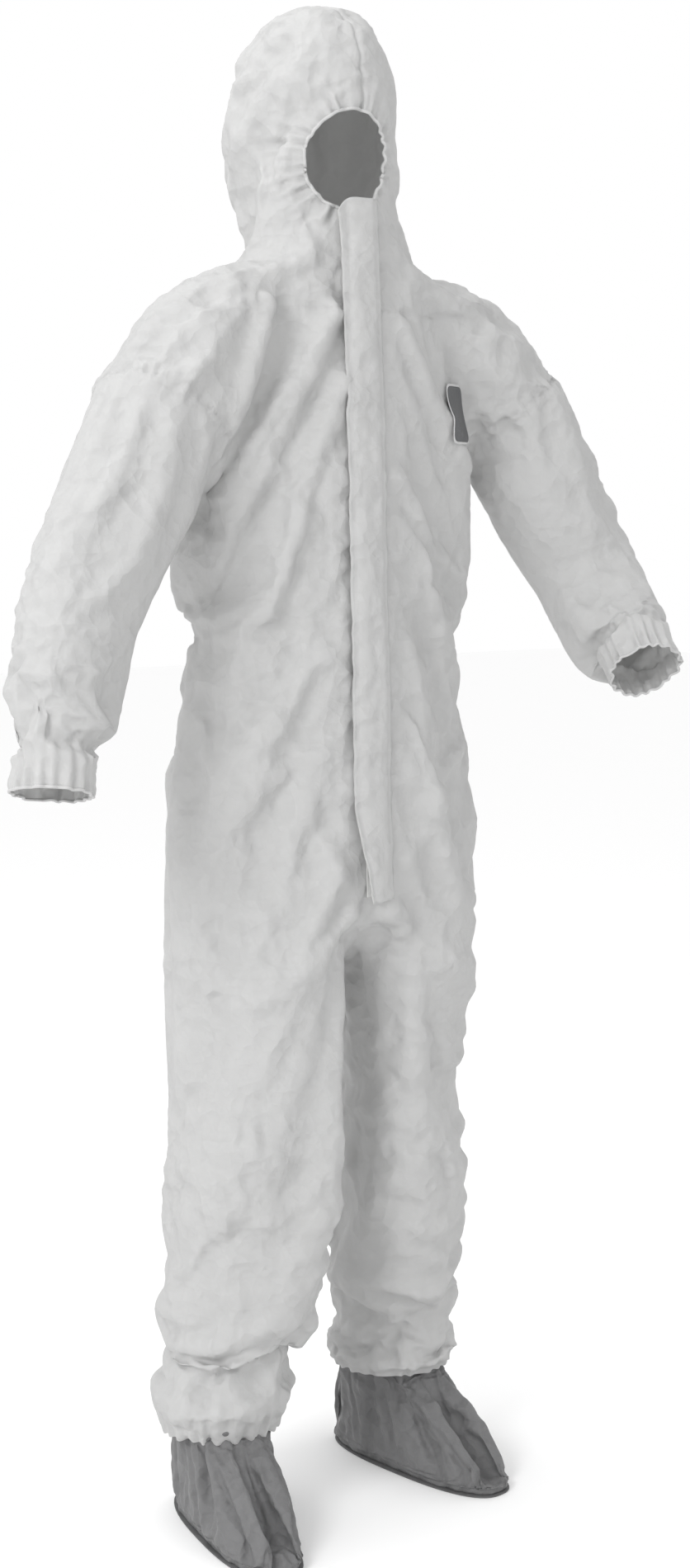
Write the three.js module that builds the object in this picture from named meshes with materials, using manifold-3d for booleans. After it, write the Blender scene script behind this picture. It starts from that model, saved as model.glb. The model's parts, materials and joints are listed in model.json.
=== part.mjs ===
// Hooded protective coverall with sewn-on boots, standing as it is worn.
// Millimetres, +Z up, front of the suit towards -Y, the wearer's left towards +X.
import * as THREE from "three";
import { mergeVertices } from "three/addons/utils/BufferGeometryUtils.js";
import Module from "manifold-3d";

const wasm = await Module();
wasm.setup();

// ---- overall sizes ----
const SUIT_HEIGHT = 1800; // sole to the top of the hood
const NECK_HEIGHT = 1440; // seam between the hood and the body
const CROTCH_HEIGHT = 690;
const CHEST_HALF_WIDTH = 192;
const HIP_HALF_WIDTH = 214;
const BIB_HALF_WIDTH = 158; // foot of the hood, at the neck seam
const WALL = 2.4; // stand-in thickness of the cloth
const GAP = 0.4; // between two pieces that are sewn edge to edge

// ---- front fastening ----
const ZIP_TOP = new THREE.Vector3(0, -100, 1548);
const ZIP_BOTTOM = new THREE.Vector3(0, -126, 760);
const CHAIN_HALF_WIDTH = 3.2;
const TAPE_HALF_WIDTH = 13;
const CHAIN_THICKNESS = 2.2;
const TAPE_THICKNESS = 1.2;
const STOP_LENGTH = 5;
const SLIDER_WIDTH = 11;
const SLIDER_LENGTH = 15;
const SLIDER_THICKNESS = 3.4;
const SLIDER_CLEARANCE = 0.5; // over the chain
const PULL_LENGTH = 24;
const PULL_WIDTH = 6;
const PULL_THICKNESS = 1.4;
const FLAP_HINGE_SIDE = 24; // stitched edge, on the wearer's left
const FLAP_FREE_SIDE = 27; // free edge, on the wearer's right
const FLAP_FOOT = 1.7; // how far the stitched edge reaches back beside the zip
const FLAP_STAND_OFF = 12; // hollow under the flap for the slider
const FLAP_THICKNESS = 1.6;
const FLAP_OVERRUN = 6; // past each end of the zip

// ---- hood ----
const FACE_HALF_WIDTH = 54;
const FACE_HALF_HEIGHT = 58;
const FACE_HEIGHT = 1610;
const FACE_ELASTIC_RADIUS = 2.4;

// ---- sleeves and legs: radius of each round joint of cloth, and lengths between joints ----
const SHOULDER_RADIUS = 84;
const ELBOW_RADIUS = 68;
const CUFF_RADIUS = 46;
const HIP_RADIUS = 104;
const KNEE_RADIUS = 90;
const HEM_RADIUS = 68;
const UPPER_ARM = 222;
const FOREARM = 205;
const THIGH = 145;
const JOINT_GAP = 0.7; // around each round joint
const TUBE_SHARE = 0.9; // of the round joint's radius
const SWING_RELIEF = 2.5; // around a limb as it swings
const ELASTIC_WIDTH = 8;
const ELASTIC_THICKNESS = 1.4;

// ---- boots ----
const BOOT_TOP = 112;
const BOOT_HALF_WIDTH = 56;
const BOOT_HEEL = 98; // behind the ankle
const BOOT_TOE = -212; // ahead of the ankle
const SOLE_THICKNESS = 4;
const TOE_OUT = 11; // degrees
const BOOT_FULLNESS = 0.74;

// ---- trims ----
const WAIST_HEIGHT = 1010;
const WAIST_ELASTIC_WIDTH = 14;
const PATCH_WIDTH = 44;
const PATCH_HEIGHT = 72;
const PATCH_CORNER = 6;
const PATCH_THICKNESS = 0.8;
const PATCH_SIDE = 128;
const PATCH_CENTRE_HEIGHT = 1322;

// Joint centres on the wearer's left, mirrored for the right.
const SHOULDER = new THREE.Vector3(262, -18, 1322);
const HIP = new THREE.Vector3(109, -2, 645);
const SHOULDER_STUB_ANGLE = 50; // degrees out from straight down
const SLEEVE_STUB = 125; // reach of the body towards each sleeve
const SLEEVE_STUB_START = 56;
const LEG_STUB = 120;
const STUB_SHARE = 0.95; // of the round joint's radius
const KNEE_OUT = 3; // the thigh's lean outwards, degrees
const SHIN_OUT = 4;

// How each arm is held at rest: degrees outwards and forwards from straight down.
const SIDES = [
  { name: "right", sign: -1, upper: [26, 11], fore: [17, 15], elbowRange: [-5, 60] },
  { name: "left", sign: 1, upper: [34, 9], fore: [-8, 50], elbowRange: [-45, 10] },
];
const SHOULDER_RANGE = [-8, 50];
const HIP_RANGE = [-15, 40];
const KNEE_RANGE = [0, 50];
const SWING_STEP = 10;

const FAR = 1000; // beyond the suit on every side
const ROUND = 20; // sides of a round section
const CUTTER_ROUND = 40;
const DOWN = new THREE.Vector3(0, 0, -1);
const X_AXIS = new THREE.Vector3(1, 0, 0);
const Y_AXIS = new THREE.Vector3(0, 1, 0);
const rad = THREE.MathUtils.degToRad;

const CLOTH = { color: 0xdcdcda, roughness: 0.75, metalness: 0 };
const BOOT_CLOTH = { color: 0x6c6d70, roughness: 0.85, metalness: 0 };
const SOLE_CLOTH = { color: 0x5a5b5e, roughness: 0.9, metalness: 0 };
const ELASTIC = { color: 0xcfcfcc, roughness: 0.8, metalness: 0 };
const ZIP_PLASTIC = { color: 0xe6e6e4, roughness: 0.45, metalness: 0 };
const PATCH_CLOTH = { color: 0x4b4d50, roughness: 0.7, metalness: 0 };

const suit = new THREE.Group();
suit.name = "protective_suit";

// ---- solids ----

// A closed geometry as a solid that can be joined and cut.
function solidOf(geometry) {
  const bare = geometry.clone();
  bare.deleteAttribute("normal");
  bare.deleteAttribute("uv");
  const merged = mergeVertices(bare, 1e-4);
  return new wasm.Manifold(
    new wasm.Mesh({
      numProp: 3,
      vertProperties: merged.attributes.position.array,
      triVerts: new Uint32Array(merged.index.array),
    }),
  );
}

// A solid as a geometry again.
function geometryOf(solid) {
  const mesh = solid.getMesh();
  const geometry = new THREE.BufferGeometry();
  geometry.setAttribute("position", new THREE.BufferAttribute(mesh.vertProperties, 3));
  geometry.setIndex(new THREE.BufferAttribute(mesh.triVerts, 1));
  geometry.computeVertexNormals();
  return geometry;
}

function addPiece(name, solid, finish) {
  const mesh = new THREE.Mesh(geometryOf(solid), new THREE.MeshStandardMaterial(finish));
  mesh.name = name;
  suit.add(mesh);
}

// A station of a loft is [height, half width, front y, back y]; this finds one at any height.
function stationAt(stations, height) {
  const last = stations.length - 1;
  let i = 0;
  while (i < last - 1 && height > stations[i + 1][0]) i += 1;
  const [low, high] = [stations[i], stations[i + 1]];
  const t = (height - low[0]) / (high[0] - low[0]);
  return low.map((value, k) => value + (high[k] - value) * t);
}

function squared(share, power) {
  return Math.sign(share) * Math.abs(share) ** power;
}

// A solid with an elliptical section at each station, from a lathed unit rod. grow adds to each radius,
// and a power under 1 fills the section's corners out.
function loft(stations, grow = 0, matrix = new THREE.Matrix4(), power = 1) {
  const profile = stations.map(([height]) => new THREE.Vector2(1, height));
  const ends = [stations[0][0], stations[stations.length - 1][0]];
  profile.unshift(new THREE.Vector2(0, ends[0]));
  profile.push(new THREE.Vector2(0, ends[1]));
  const rod = new THREE.LatheGeometry(profile, ROUND);
  const place = rod.attributes.position;
  for (let i = 0; i < place.count; i += 1) {
    const height = place.getY(i);
    const [, halfWidth, front, back] = stationAt(stations, height);
    const depth = (back - front) / 2;
    const x = squared(place.getX(i), power) * (halfWidth + grow);
    const y = (front + back) / 2 - squared(place.getZ(i), power) * (depth + grow);
    place.setXYZ(i, x, y, height);
  }
  rod.applyMatrix4(matrix);
  return solidOf(rod);
}

function box(x0, x1, y0, y1, z0, z1, matrix = new THREE.Matrix4()) {
  const block = new THREE.BoxGeometry(x1 - x0, y1 - y0, z1 - z0);
  block.translate((x0 + x1) / 2, (y0 + y1) / 2, (z0 + z1) / 2);
  block.applyMatrix4(matrix);
  return solidOf(block);
}

function ball(centre, radius) {
  const sphere = new THREE.SphereGeometry(radius, CUTTER_ROUND, CUTTER_ROUND / 2);
  sphere.translate(centre.x, centre.y, centre.z);
  return solidOf(sphere);
}

// ---- limb layout ----

// The direction that leans outwards by one angle and forwards by the other.
function leaning(sign, [outward, forward]) {
  const lean = new THREE.Vector3(Math.tan(rad(outward)) * sign, -Math.tan(rad(forward)), -1);
  return lean.normalize();
}

// The matrix that stands a limb, made down the -Z axis from its joint, at its place.
function limbMatrix(joint, direction) {
  const turn = new THREE.Quaternion().setFromUnitVectors(DOWN, direction);
  return new THREE.Matrix4().compose(joint, turn, new THREE.Vector3(1, 1, 1));
}

function swingMatrix(joint, axis, degrees) {
  const away = new THREE.Matrix4().makeTranslation(-joint.x, -joint.y, -joint.z);
  const turn = new THREE.Matrix4().makeRotationAxis(axis, rad(degrees));
  const home = new THREE.Matrix4().makeTranslation(joint.x, joint.y, joint.z);
  return home.multiply(turn).multiply(away);
}

// Stations down a round limb: its ball-shaped head, then the tube through the given radii.
function limbStations(headRadius, tube) {
  const stations = [];
  for (const [height, radius] of [...tube].reverse()) {
    stations.push([-height, radius, -radius, radius]);
  }
  for (const share of [-0.4, -0.2, 0, 0.2, 0.4, 0.6]) {
    const radius = headRadius * Math.sqrt(1 - share * share);
    stations.push([headRadius * share, radius, -radius, radius]);
  }
  return stations;
}

// Past both ends, so that taking it away leaves the tube open.
function bored(stations) {
  const first = stations[0];
  const last = stations[stations.length - 1];
  const below = [first[0] - WALL * 2, ...first.slice(1)];
  const above = [last[0] + WALL * 2, ...last.slice(1)];
  return [below, ...stations, above];
}

function limbShell(stations, matrix) {
  return loft(stations, 0, matrix).subtract(loft(bored(stations), -WALL, matrix));
}

// Takes from a parent shell the round of the joint, and the room that the limb needs as it swings.
function relieved(shell, limb) {
  let left = shell.subtract(ball(limb.joint, limb.headRadius + JOINT_GAP));
  const tube = limb.stations.filter(([height]) => height <= -0.3 * limb.headRadius);
  const [low, high] = limb.range;
  const steps = Math.ceil((high - low) / SWING_STEP);
  for (let i = 0; i <= steps; i += 1) {
    const swing = swingMatrix(limb.joint, limb.axis, low + ((high - low) * i) / steps);
    left = left.subtract(loft(tube, SWING_RELIEF, swing.multiply(limb.matrix)));
  }
  return left;
}

function limb(name, joint, direction, headRadius, tube, axis, range) {
  const matrix = limbMatrix(joint, direction);
  const stations = limbStations(headRadius, tube);
  return { name, joint, direction, headRadius, stations, axis, range, matrix };
}

function endOf(part, length) {
  return part.joint.clone().addScaledVector(part.direction, length);
}

function armOf({ name, sign, upper, fore, elbowRange }) {
  const swingAxis = Y_AXIS.clone().multiplyScalar(-sign);
  const shoulder = new THREE.Vector3(SHOULDER.x * sign, SHOULDER.y, SHOULDER.z);
  const elbowShare = ELBOW_RADIUS * 0.95;
  const upperTube = [
    [SHOULDER_RADIUS * 0.6, SHOULDER_RADIUS * TUBE_SHARE * 0.97],
    [UPPER_ARM * 0.5, (SHOULDER_RADIUS + ELBOW_RADIUS) * 0.44],
    [UPPER_ARM, elbowShare],
  ];
  const upperArm = limb(
    "sleeve_upper_" + name,
    shoulder,
    leaning(sign, upper),
    SHOULDER_RADIUS,
    upperTube,
    swingAxis,
    SHOULDER_RANGE,
  );
  const lowerTube = [
    [ELBOW_RADIUS * 0.6, ELBOW_RADIUS * TUBE_SHARE * 0.96],
    [FOREARM * 0.7, (ELBOW_RADIUS + CUFF_RADIUS) * 0.48],
    [FOREARM - ELASTIC_WIDTH * 2, CUFF_RADIUS + 3],
    [FOREARM, CUFF_RADIUS],
  ];
  const lowerArm = limb(
    "sleeve_lower_" + name,
    endOf(upperArm, UPPER_ARM),
    leaning(sign, fore),
    ELBOW_RADIUS,
    lowerTube,
    X_AXIS.clone().negate(),
    elbowRange,
  );
  return { upperArm, lowerArm };
}

function legOf({ name, sign }) {
  const hip = new THREE.Vector3(HIP.x * sign, HIP.y, HIP.z);
  const thighTube = [
    [HIP_RADIUS * 0.6, HIP_RADIUS * TUBE_SHARE * 0.98],
    [THIGH, KNEE_RADIUS * 0.96],
  ];
  const thigh = limb(
    "leg_upper_" + name,
    hip,
    leaning(sign, [KNEE_OUT, 2]),
    HIP_RADIUS,
    thighTube,
    X_AXIS.clone().negate(),
    HIP_RANGE,
  );
  const knee = endOf(thigh, THIGH);
  const shin = knee.z - BOOT_TOP - GAP;
  const shinTube = [
    [KNEE_RADIUS * 0.6, KNEE_RADIUS * TUBE_SHARE],
    [shin * 0.55, KNEE_RADIUS * 0.88],
    [shin * 0.82, KNEE_RADIUS * 0.93],
    [shin, HEM_RADIUS],
  ];
  const lower = limb(
    "leg_lower_" + name,
    knee,
    leaning(sign, [SHIN_OUT, -1]),
    KNEE_RADIUS,
    shinTube,
    X_AXIS,
    KNEE_RANGE,
  );
  return { thigh, lower };
}

// ---- body of the suit ----

function zipLineAt(height) {
  const t = (height - ZIP_BOTTOM.z) / (ZIP_TOP.z - ZIP_BOTTOM.z);
  return ZIP_BOTTOM.y + (ZIP_TOP.y - ZIP_BOTTOM.y) * t;
}

// [height, half width, back y]; the front follows the zip's straight line.
const BODY_OUTLINE = [
  [CROTCH_HEIGHT, 70, 70],
  [CROTCH_HEIGHT + 14, 140, 104],
  [CROTCH_HEIGHT + 45, HIP_HALF_WIDTH * 0.93, 124],
  [CROTCH_HEIGHT + 110, HIP_HALF_WIDTH, 134],
  [900, HIP_HALF_WIDTH * 0.97, 126],
  [WAIST_HEIGHT, 178, 104],
  [1110, CHEST_HALF_WIDTH * 0.97, 112],
  [1230, CHEST_HALF_WIDTH, 122],
  [1320, CHEST_HALF_WIDTH * 0.99, 124],
  [1385, CHEST_HALF_WIDTH * 0.94, 112],
  [NECK_HEIGHT, BIB_HALF_WIDTH, 92],
];
const CROTCH_TUCK = 58; // the front and back come in under the crotch
const bodyStations = BODY_OUTLINE.map(([height, halfWidth, back], i) => {
  const tuck = [CROTCH_TUCK, CROTCH_TUCK * 0.4][i] ?? 0;
  return [height, halfWidth, zipLineAt(height) + tuck, back];
});

const arms = SIDES.map(armOf);
const legs = SIDES.map(legOf);

// The short tube of the body that a sleeve or leg is sewn to, from inside the body to the joint.
function stub(part, direction, length, startRadius, radius, grow) {
  const start = part.joint.clone().addScaledVector(direction, -length);
  const stations = [
    [-length, radius, -radius, radius],
    [0, startRadius, -startRadius, startRadius],
  ];
  return loft(stations, grow, limbMatrix(start, direction));
}

function bodyShell() {
  const neckCut = [...bodyStations, [NECK_HEIGHT + WALL * 2, ...bodyStations.at(-1).slice(1)]];
  let outside = loft(bodyStations);
  let inside = loft(neckCut.slice(1), -WALL);
  const sleeveRadius = SHOULDER_RADIUS * STUB_SHARE;
  const legRadius = HIP_RADIUS * STUB_SHARE;
  SIDES.forEach(({ sign }, i) => {
    const shoulderWay = leaning(sign, [SHOULDER_STUB_ANGLE, 4]);
    const sleeveStub = [arms[i].upperArm, shoulderWay, SLEEVE_STUB, SLEEVE_STUB_START, sleeveRadius];
    const legStub = [legs[i].thigh, DOWN, LEG_STUB, legRadius, legRadius];
    outside = outside.add(stub(...sleeveStub, 0)).add(stub(...legStub, 0));
    inside = inside.add(stub(...sleeveStub, -WALL)).add(stub(...legStub, -WALL));
  });
  let shell = outside.subtract(inside);
  for (const limbPart of [...arms.map(({ upperArm }) => upperArm), ...legs.map(({ thigh }) => thigh)])
    shell = relieved(shell, limbPart);
  return shell.subtract(box(-BIB_HALF_WIDTH, BIB_HALF_WIDTH, -FAR, FAR, NECK_HEIGHT, SUIT_HEIGHT));
}

const SIDE_SEAM_Y = 0;
const zipSlot = box(-TAPE_HALF_WIDTH, TAPE_HALF_WIDTH, -FAR, SIDE_SEAM_Y, ZIP_BOTTOM.z, ZIP_TOP.z);

function bodyPanels() {
  const shell = bodyShell();
  const half = GAP / 2;
  const backHalf = box(-FAR, FAR, SIDE_SEAM_Y + half, FAR, -FAR, 2 * FAR);
  const frontRight = box(-FAR, -half, -FAR, SIDE_SEAM_Y - half, -FAR, 2 * FAR);
  const frontLeft = box(half, FAR, -FAR, SIDE_SEAM_Y - half, -FAR, 2 * FAR);
  const front = shell.subtract(zipSlot);
  addPiece("back_panel", shell.intersect(backHalf), CLOTH);
  addPiece("front_panel_right", front.intersect(frontRight), CLOTH);
  addPiece("front_panel_left", front.intersect(frontLeft), CLOTH);
}

function waistElastic() {
  const low = WAIST_HEIGHT - WAIST_ELASTIC_WIDTH / 2;
  const slab = box(-FAR, FAR, GAP, FAR, low, low + WAIST_ELASTIC_WIDTH);
  const band = loft(bodyStations, GAP + ELASTIC_THICKNESS).subtract(loft(bodyStations, GAP));
  addPiece("waist_elastic", band.intersect(slab), ELASTIC);
}

// A plain patch with rounded corners that follows the cloth on the wearer's left chest.
function chestPatch() {
  const [w, h] = [PATCH_WIDTH / 2 - PATCH_CORNER, PATCH_HEIGHT / 2 - PATCH_CORNER];
  const outline = new THREE.Shape();
  outline.absarc(w, h, PATCH_CORNER, 0, Math.PI / 2);
  outline.absarc(-w, h, PATCH_CORNER, Math.PI / 2, Math.PI);
  outline.absarc(-w, -h, PATCH_CORNER, Math.PI, 1.5 * Math.PI);
  outline.absarc(w, -h, PATCH_CORNER, 1.5 * Math.PI, 2 * Math.PI);
  const prism = new THREE.ExtrudeGeometry(outline, { depth: FAR, bevelEnabled: false, curveSegments: 4 });
  prism.rotateX(Math.PI / 2);
  prism.translate(PATCH_SIDE, 0, PATCH_CENTRE_HEIGHT);
  const skin = loft(bodyStations, GAP + PATCH_THICKNESS).subtract(loft(bodyStations, GAP));
  addPiece("chest_patch", skin.intersect(solidOf(prism)), PATCH_CLOTH);
}

// ---- hood ----

const HOOD_STATIONS = [
  [NECK_HEIGHT + GAP, BIB_HALF_WIDTH - 8, zipLineAt(NECK_HEIGHT), 91],
  [1478, 128, zipLineAt(1478), 88],
  [1510, 98, zipLineAt(1510), 86],
  [1545, 88, zipLineAt(1545), 90],
  [1600, 97, -104, 108],
  [1650, 98, -108, 120],
  [1700, 93, -106, 122],
  [1745, 80, -94, 110],
  [1780, 56, -66, 82],
  [1795, 30, -36, 50],
  [SUIT_HEIGHT, 10, -8, 24],
];

function hoodFrontAt(x, height) {
  const [, halfWidth, front, back] = stationAt(HOOD_STATIONS, height);
  const depth = (back - front) / 2;
  return (front + back) / 2 - depth * Math.sqrt(1 - (x / halfWidth) ** 2);
}

function faceCutter() {
  const edge = FACE_ELASTIC_RADIUS + GAP;
  const rod = new THREE.CylinderGeometry(1, 1, 200, CUTTER_ROUND);
  rod.scale(FACE_HALF_WIDTH + edge, 1, FACE_HALF_HEIGHT + edge);
  rod.translate(0, -120, FACE_HEIGHT);
  return solidOf(rod);
}

function hood() {
  const low = HOOD_STATIONS[0];
  const open = [[low[0] - WALL, ...low.slice(1)], ...HOOD_STATIONS.slice(0, -1)];
  const inside = loft(open, -WALL);
  const shell = loft(HOOD_STATIONS).subtract(inside).subtract(faceCutter()).subtract(zipSlot);
  const half = GAP / 2;
  addPiece("hood_panel_right", shell.intersect(box(-FAR, -half, -FAR, FAR, 0, 2 * FAR)), CLOTH);
  addPiece("hood_panel_left", shell.intersect(box(half, FAR, -FAR, FAR, 0, 2 * FAR)), CLOTH);
}

// The gathered elastic edge, bent to follow the hood's rounded front.
function faceElastic() {
  const ring = new THREE.TorusGeometry(1, FACE_ELASTIC_RADIUS / FACE_HALF_WIDTH, 6, 32);
  const place = ring.attributes.position;
  for (let i = 0; i < place.count; i += 1) {
    const angle = Math.atan2(place.getY(i), place.getX(i));
    const out = (Math.hypot(place.getX(i), place.getY(i)) - 1) * FACE_HALF_WIDTH;
    const [cos, sin] = [Math.cos(angle), Math.sin(angle)];
    const x = cos * (FACE_HALF_WIDTH + out);
    const z = FACE_HEIGHT + sin * (FACE_HALF_HEIGHT + out);
    const depth = place.getZ(i) * FACE_HALF_WIDTH;
    const front = hoodFrontAt(cos * FACE_HALF_WIDTH, FACE_HEIGHT + sin * FACE_HALF_HEIGHT);
    place.setXYZ(i, x, front + WALL / 2 - depth, z);
  }
  addPiece("face_elastic", solidOf(ring), ELASTIC);
}

// ---- front fastening: made along +Z from the zip's bottom end, -Y outwards, then leaned back ----

const zipLean = new THREE.Matrix4();
const zipLength = ZIP_TOP.distanceTo(ZIP_BOTTOM);
{
  const way = ZIP_TOP.clone().sub(ZIP_BOTTOM).normalize();
  const turn = new THREE.Quaternion().setFromUnitVectors(new THREE.Vector3(0, 0, 1), way);
  zipLean.compose(ZIP_BOTTOM, turn, new THREE.Vector3(1, 1, 1));
}

function zip() {
  const top = zipLength - 2 * GAP - STOP_LENGTH;
  const low = 2 * GAP + STOP_LENGTH;
  const inner = CHAIN_HALF_WIDTH + GAP / 2;
  const outer = TAPE_HALF_WIDTH - GAP;
  for (const { name, sign } of SIDES) {
    const [x0, x1] = sign > 0 ? [inner, outer] : [-outer, -inner];
    addPiece("zip_tape_" + name, box(x0, x1, 0, TAPE_THICKNESS, GAP, zipLength - GAP, zipLean), CLOTH);
  }
  const chain = CHAIN_HALF_WIDTH - GAP / 2;
  const half = CHAIN_THICKNESS / 2;
  addPiece("zip_chain", box(-chain, chain, -half, half, low, top, zipLean), ZIP_PLASTIC);
  const bottomStop = box(-chain, chain, -half, half, GAP, STOP_LENGTH, zipLean);
  const topStop = box(-chain, chain, -half, half, top + GAP, top + GAP + STOP_LENGTH, zipLean);
  addPiece("zip_bottom_stop", bottomStop, ZIP_PLASTIC);
  addPiece("zip_top_stop", topStop, ZIP_PLASTIC);
}

const sliderTop = zipLength - STOP_LENGTH - GAP * 2;
const sliderBack = -CHAIN_THICKNESS / 2 - SLIDER_CLEARANCE;
const bridgeBack = sliderBack - SLIDER_THICKNESS;

// The slider's body with the bridge that the pull hangs from.
// From the front of the slider's body outwards, and down from the slider's top.
const LUG_HALF_WIDTH = 1.2;
const LUG_REACH = 3.2;
const BAR_REACH = 4.2; // of the bar that joins the two lugs
const BAR_THICKNESS = 1.9;
const LUG_STARTS = [3, 10];
const LUG_ENDS = [7, 13];
const PULL_DROP = 7.4; // from the slider's top to the top of the pull
const PULL_BAR = 2; // strip of the pull that hangs between the lugs
const PULL_HOLE_LENGTH = 4.2;
const PULL_HOLE_HALF_WIDTH = 1.7;
const PULL_CLEARANCE = 0.4;

function slider() {
  const half = SLIDER_WIDTH / 2;
  const lug = (start, end, back, front) =>
    box(-LUG_HALF_WIDTH, LUG_HALF_WIDTH, front, back, sliderTop - end, sliderTop - start, zipLean);
  const body = box(-half, half, bridgeBack, sliderBack, sliderTop - SLIDER_LENGTH, sliderTop, zipLean);
  const lugs = LUG_STARTS.map((start, i) => lug(start, LUG_ENDS[i], bridgeBack + 1, bridgeBack - LUG_REACH));
  const barFront = bridgeBack - BAR_REACH;
  const bar = lug(LUG_STARTS[0], LUG_ENDS[1], barFront + BAR_THICKNESS, barFront);
  addPiece("zip_slider", body.add(lugs[0]).add(lugs[1]).add(bar), ZIP_PLASTIC);
}

function pull() {
  const back = bridgeBack - PULL_CLEARANCE;
  const top = sliderTop - PULL_DROP;
  const half = PULL_WIDTH / 2;
  const hole = PULL_HOLE_HALF_WIDTH;
  const holeTop = top - PULL_BAR;
  const tongue = box(-half, half, back - PULL_THICKNESS, back, top - PULL_LENGTH, top, zipLean);
  const eye = box(-hole, hole, back - FAR, back + FAR, holeTop - PULL_HOLE_LENGTH, holeTop, zipLean);
  addPiece("zip_pull", tongue.subtract(eye), ZIP_PLASTIC);
}

function stormFlap() {
  const t = FLAP_THICKNESS;
  const foot = FLAP_HINGE_SIDE;
  const rise = FLAP_STAND_OFF;
  const outline = new THREE.Shape([
    new THREE.Vector2(foot, FLAP_FOOT),
    new THREE.Vector2(foot - rise, -rise),
    new THREE.Vector2(-FLAP_FREE_SIDE, -rise),
    new THREE.Vector2(-FLAP_FREE_SIDE, -rise - t),
    new THREE.Vector2(foot - rise + t, -rise - t),
    new THREE.Vector2(foot + t, FLAP_FOOT - t),
  ]);
  const depth = zipLength + 2 * FLAP_OVERRUN;
  const strip = new THREE.ExtrudeGeometry(outline, { depth, bevelEnabled: false });
  strip.translate(0, 0, -FLAP_OVERRUN);
  strip.applyMatrix4(zipLean);
  addPiece("storm_flap", solidOf(strip), CLOTH);
}

// ---- sleeves, legs and boots ----

// A band around a round limb, close to its end.
function elasticRing(name, part, from, grow) {
  const stations = part.stations.map((station) => [...station]);
  const outer = loft(stations, grow + ELASTIC_THICKNESS, part.matrix);
  const inner = loft(stations, grow, part.matrix);
  const slab = box(-FAR, FAR, -FAR, FAR, -from - ELASTIC_WIDTH, -from, part.matrix);
  addPiece(name, outer.subtract(inner).intersect(slab), ELASTIC);
}

const BOOT_STATIONS = [
  [SOLE_THICKNESS + GAP, BOOT_HALF_WIDTH, BOOT_TOE, BOOT_HEEL],
  [SOLE_THICKNESS + 26, BOOT_HALF_WIDTH, BOOT_TOE + 4, BOOT_HEEL + 3],
  [58, BOOT_HALF_WIDTH * 0.94, BOOT_TOE + 50, BOOT_HEEL],
  [82, BOOT_HALF_WIDTH * 0.98, -108, BOOT_HEEL - 6],
  [BOOT_TOP, HEM_RADIUS, -HEM_RADIUS, HEM_RADIUS],
];

function bootMatrix(part, sign) {
  const ankle = endOf(part, (part.joint.z - BOOT_TOP) / -part.direction.z);
  const turn = new THREE.Quaternion().setFromAxisAngle(new THREE.Vector3(0, 0, 1), rad(TOE_OUT) * sign);
  return new THREE.Matrix4().compose(
    new THREE.Vector3(ankle.x, ankle.y, 0),
    turn,
    new THREE.Vector3(1, 1, 1),
  );
}

function boot({ name, sign }, part) {
  const matrix = bootMatrix(part, sign);
  const floor = BOOT_STATIONS[0];
  const top = BOOT_STATIONS.at(-1);
  const inside = [
    [floor[0] - WALL, ...floor.slice(1)],
    ...BOOT_STATIONS,
    [top[0] + WALL, ...top.slice(1)],
  ];
  const shaped = (stations, grow) => loft(stations, grow, matrix, BOOT_FULLNESS);
  addPiece("boot_upper_" + name, shaped(BOOT_STATIONS, 0).subtract(shaped(inside, -WALL)), BOOT_CLOTH);
  const sole = [
    [0, ...floor.slice(1)],
    [SOLE_THICKNESS, ...floor.slice(1)],
  ];
  addPiece("boot_sole_" + name, shaped(sole, 0), SOLE_CLOTH);
  const band = shaped(BOOT_STATIONS, GAP + ELASTIC_THICKNESS).subtract(shaped(BOOT_STATIONS, GAP));
  const slab = box(-FAR, FAR, -FAR, FAR, BOOT_TOP - 4 - ELASTIC_WIDTH, BOOT_TOP - 4);
  addPiece("ankle_elastic_" + name, band.intersect(slab), ELASTIC);
}

function limbs() {
  SIDES.forEach((side, i) => {
    const { upperArm, lowerArm } = arms[i];
    const { thigh, lower } = legs[i];
    addPiece(upperArm.name, relieved(limbShell(upperArm.stations, upperArm.matrix), lowerArm), CLOTH);
    addPiece(lowerArm.name, limbShell(lowerArm.stations, lowerArm.matrix), CLOTH);
    elasticRing("cuff_elastic_" + side.name, lowerArm, FOREARM - ELASTIC_WIDTH - 2, GAP);
    addPiece(thigh.name, relieved(limbShell(thigh.stations, thigh.matrix), lower), CLOTH);
    const shin = limbShell(lower.stations, lower.matrix);
    const trim = box(-FAR, FAR, -FAR, FAR, -FAR, BOOT_TOP + GAP);
    addPiece(lower.name, shin.subtract(trim), CLOTH);
    boot(side, lower);
  });
}

bodyPanels();
waistElastic();
chestPatch();
hood();
faceElastic();
zip();
slider();
pull();
stormFlap();
limbs();

export default suit;
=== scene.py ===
"""A hooded protective coverall with sewn-on boots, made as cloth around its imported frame. Metres throughout."""

import json
import math

import bmesh
import bpy
from bpy.props import FloatProperty, FloatVectorProperty, IntProperty, PointerProperty
from mathutils import Matrix, Vector, noise
from mathutils.bvhtree import BVHTree

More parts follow.
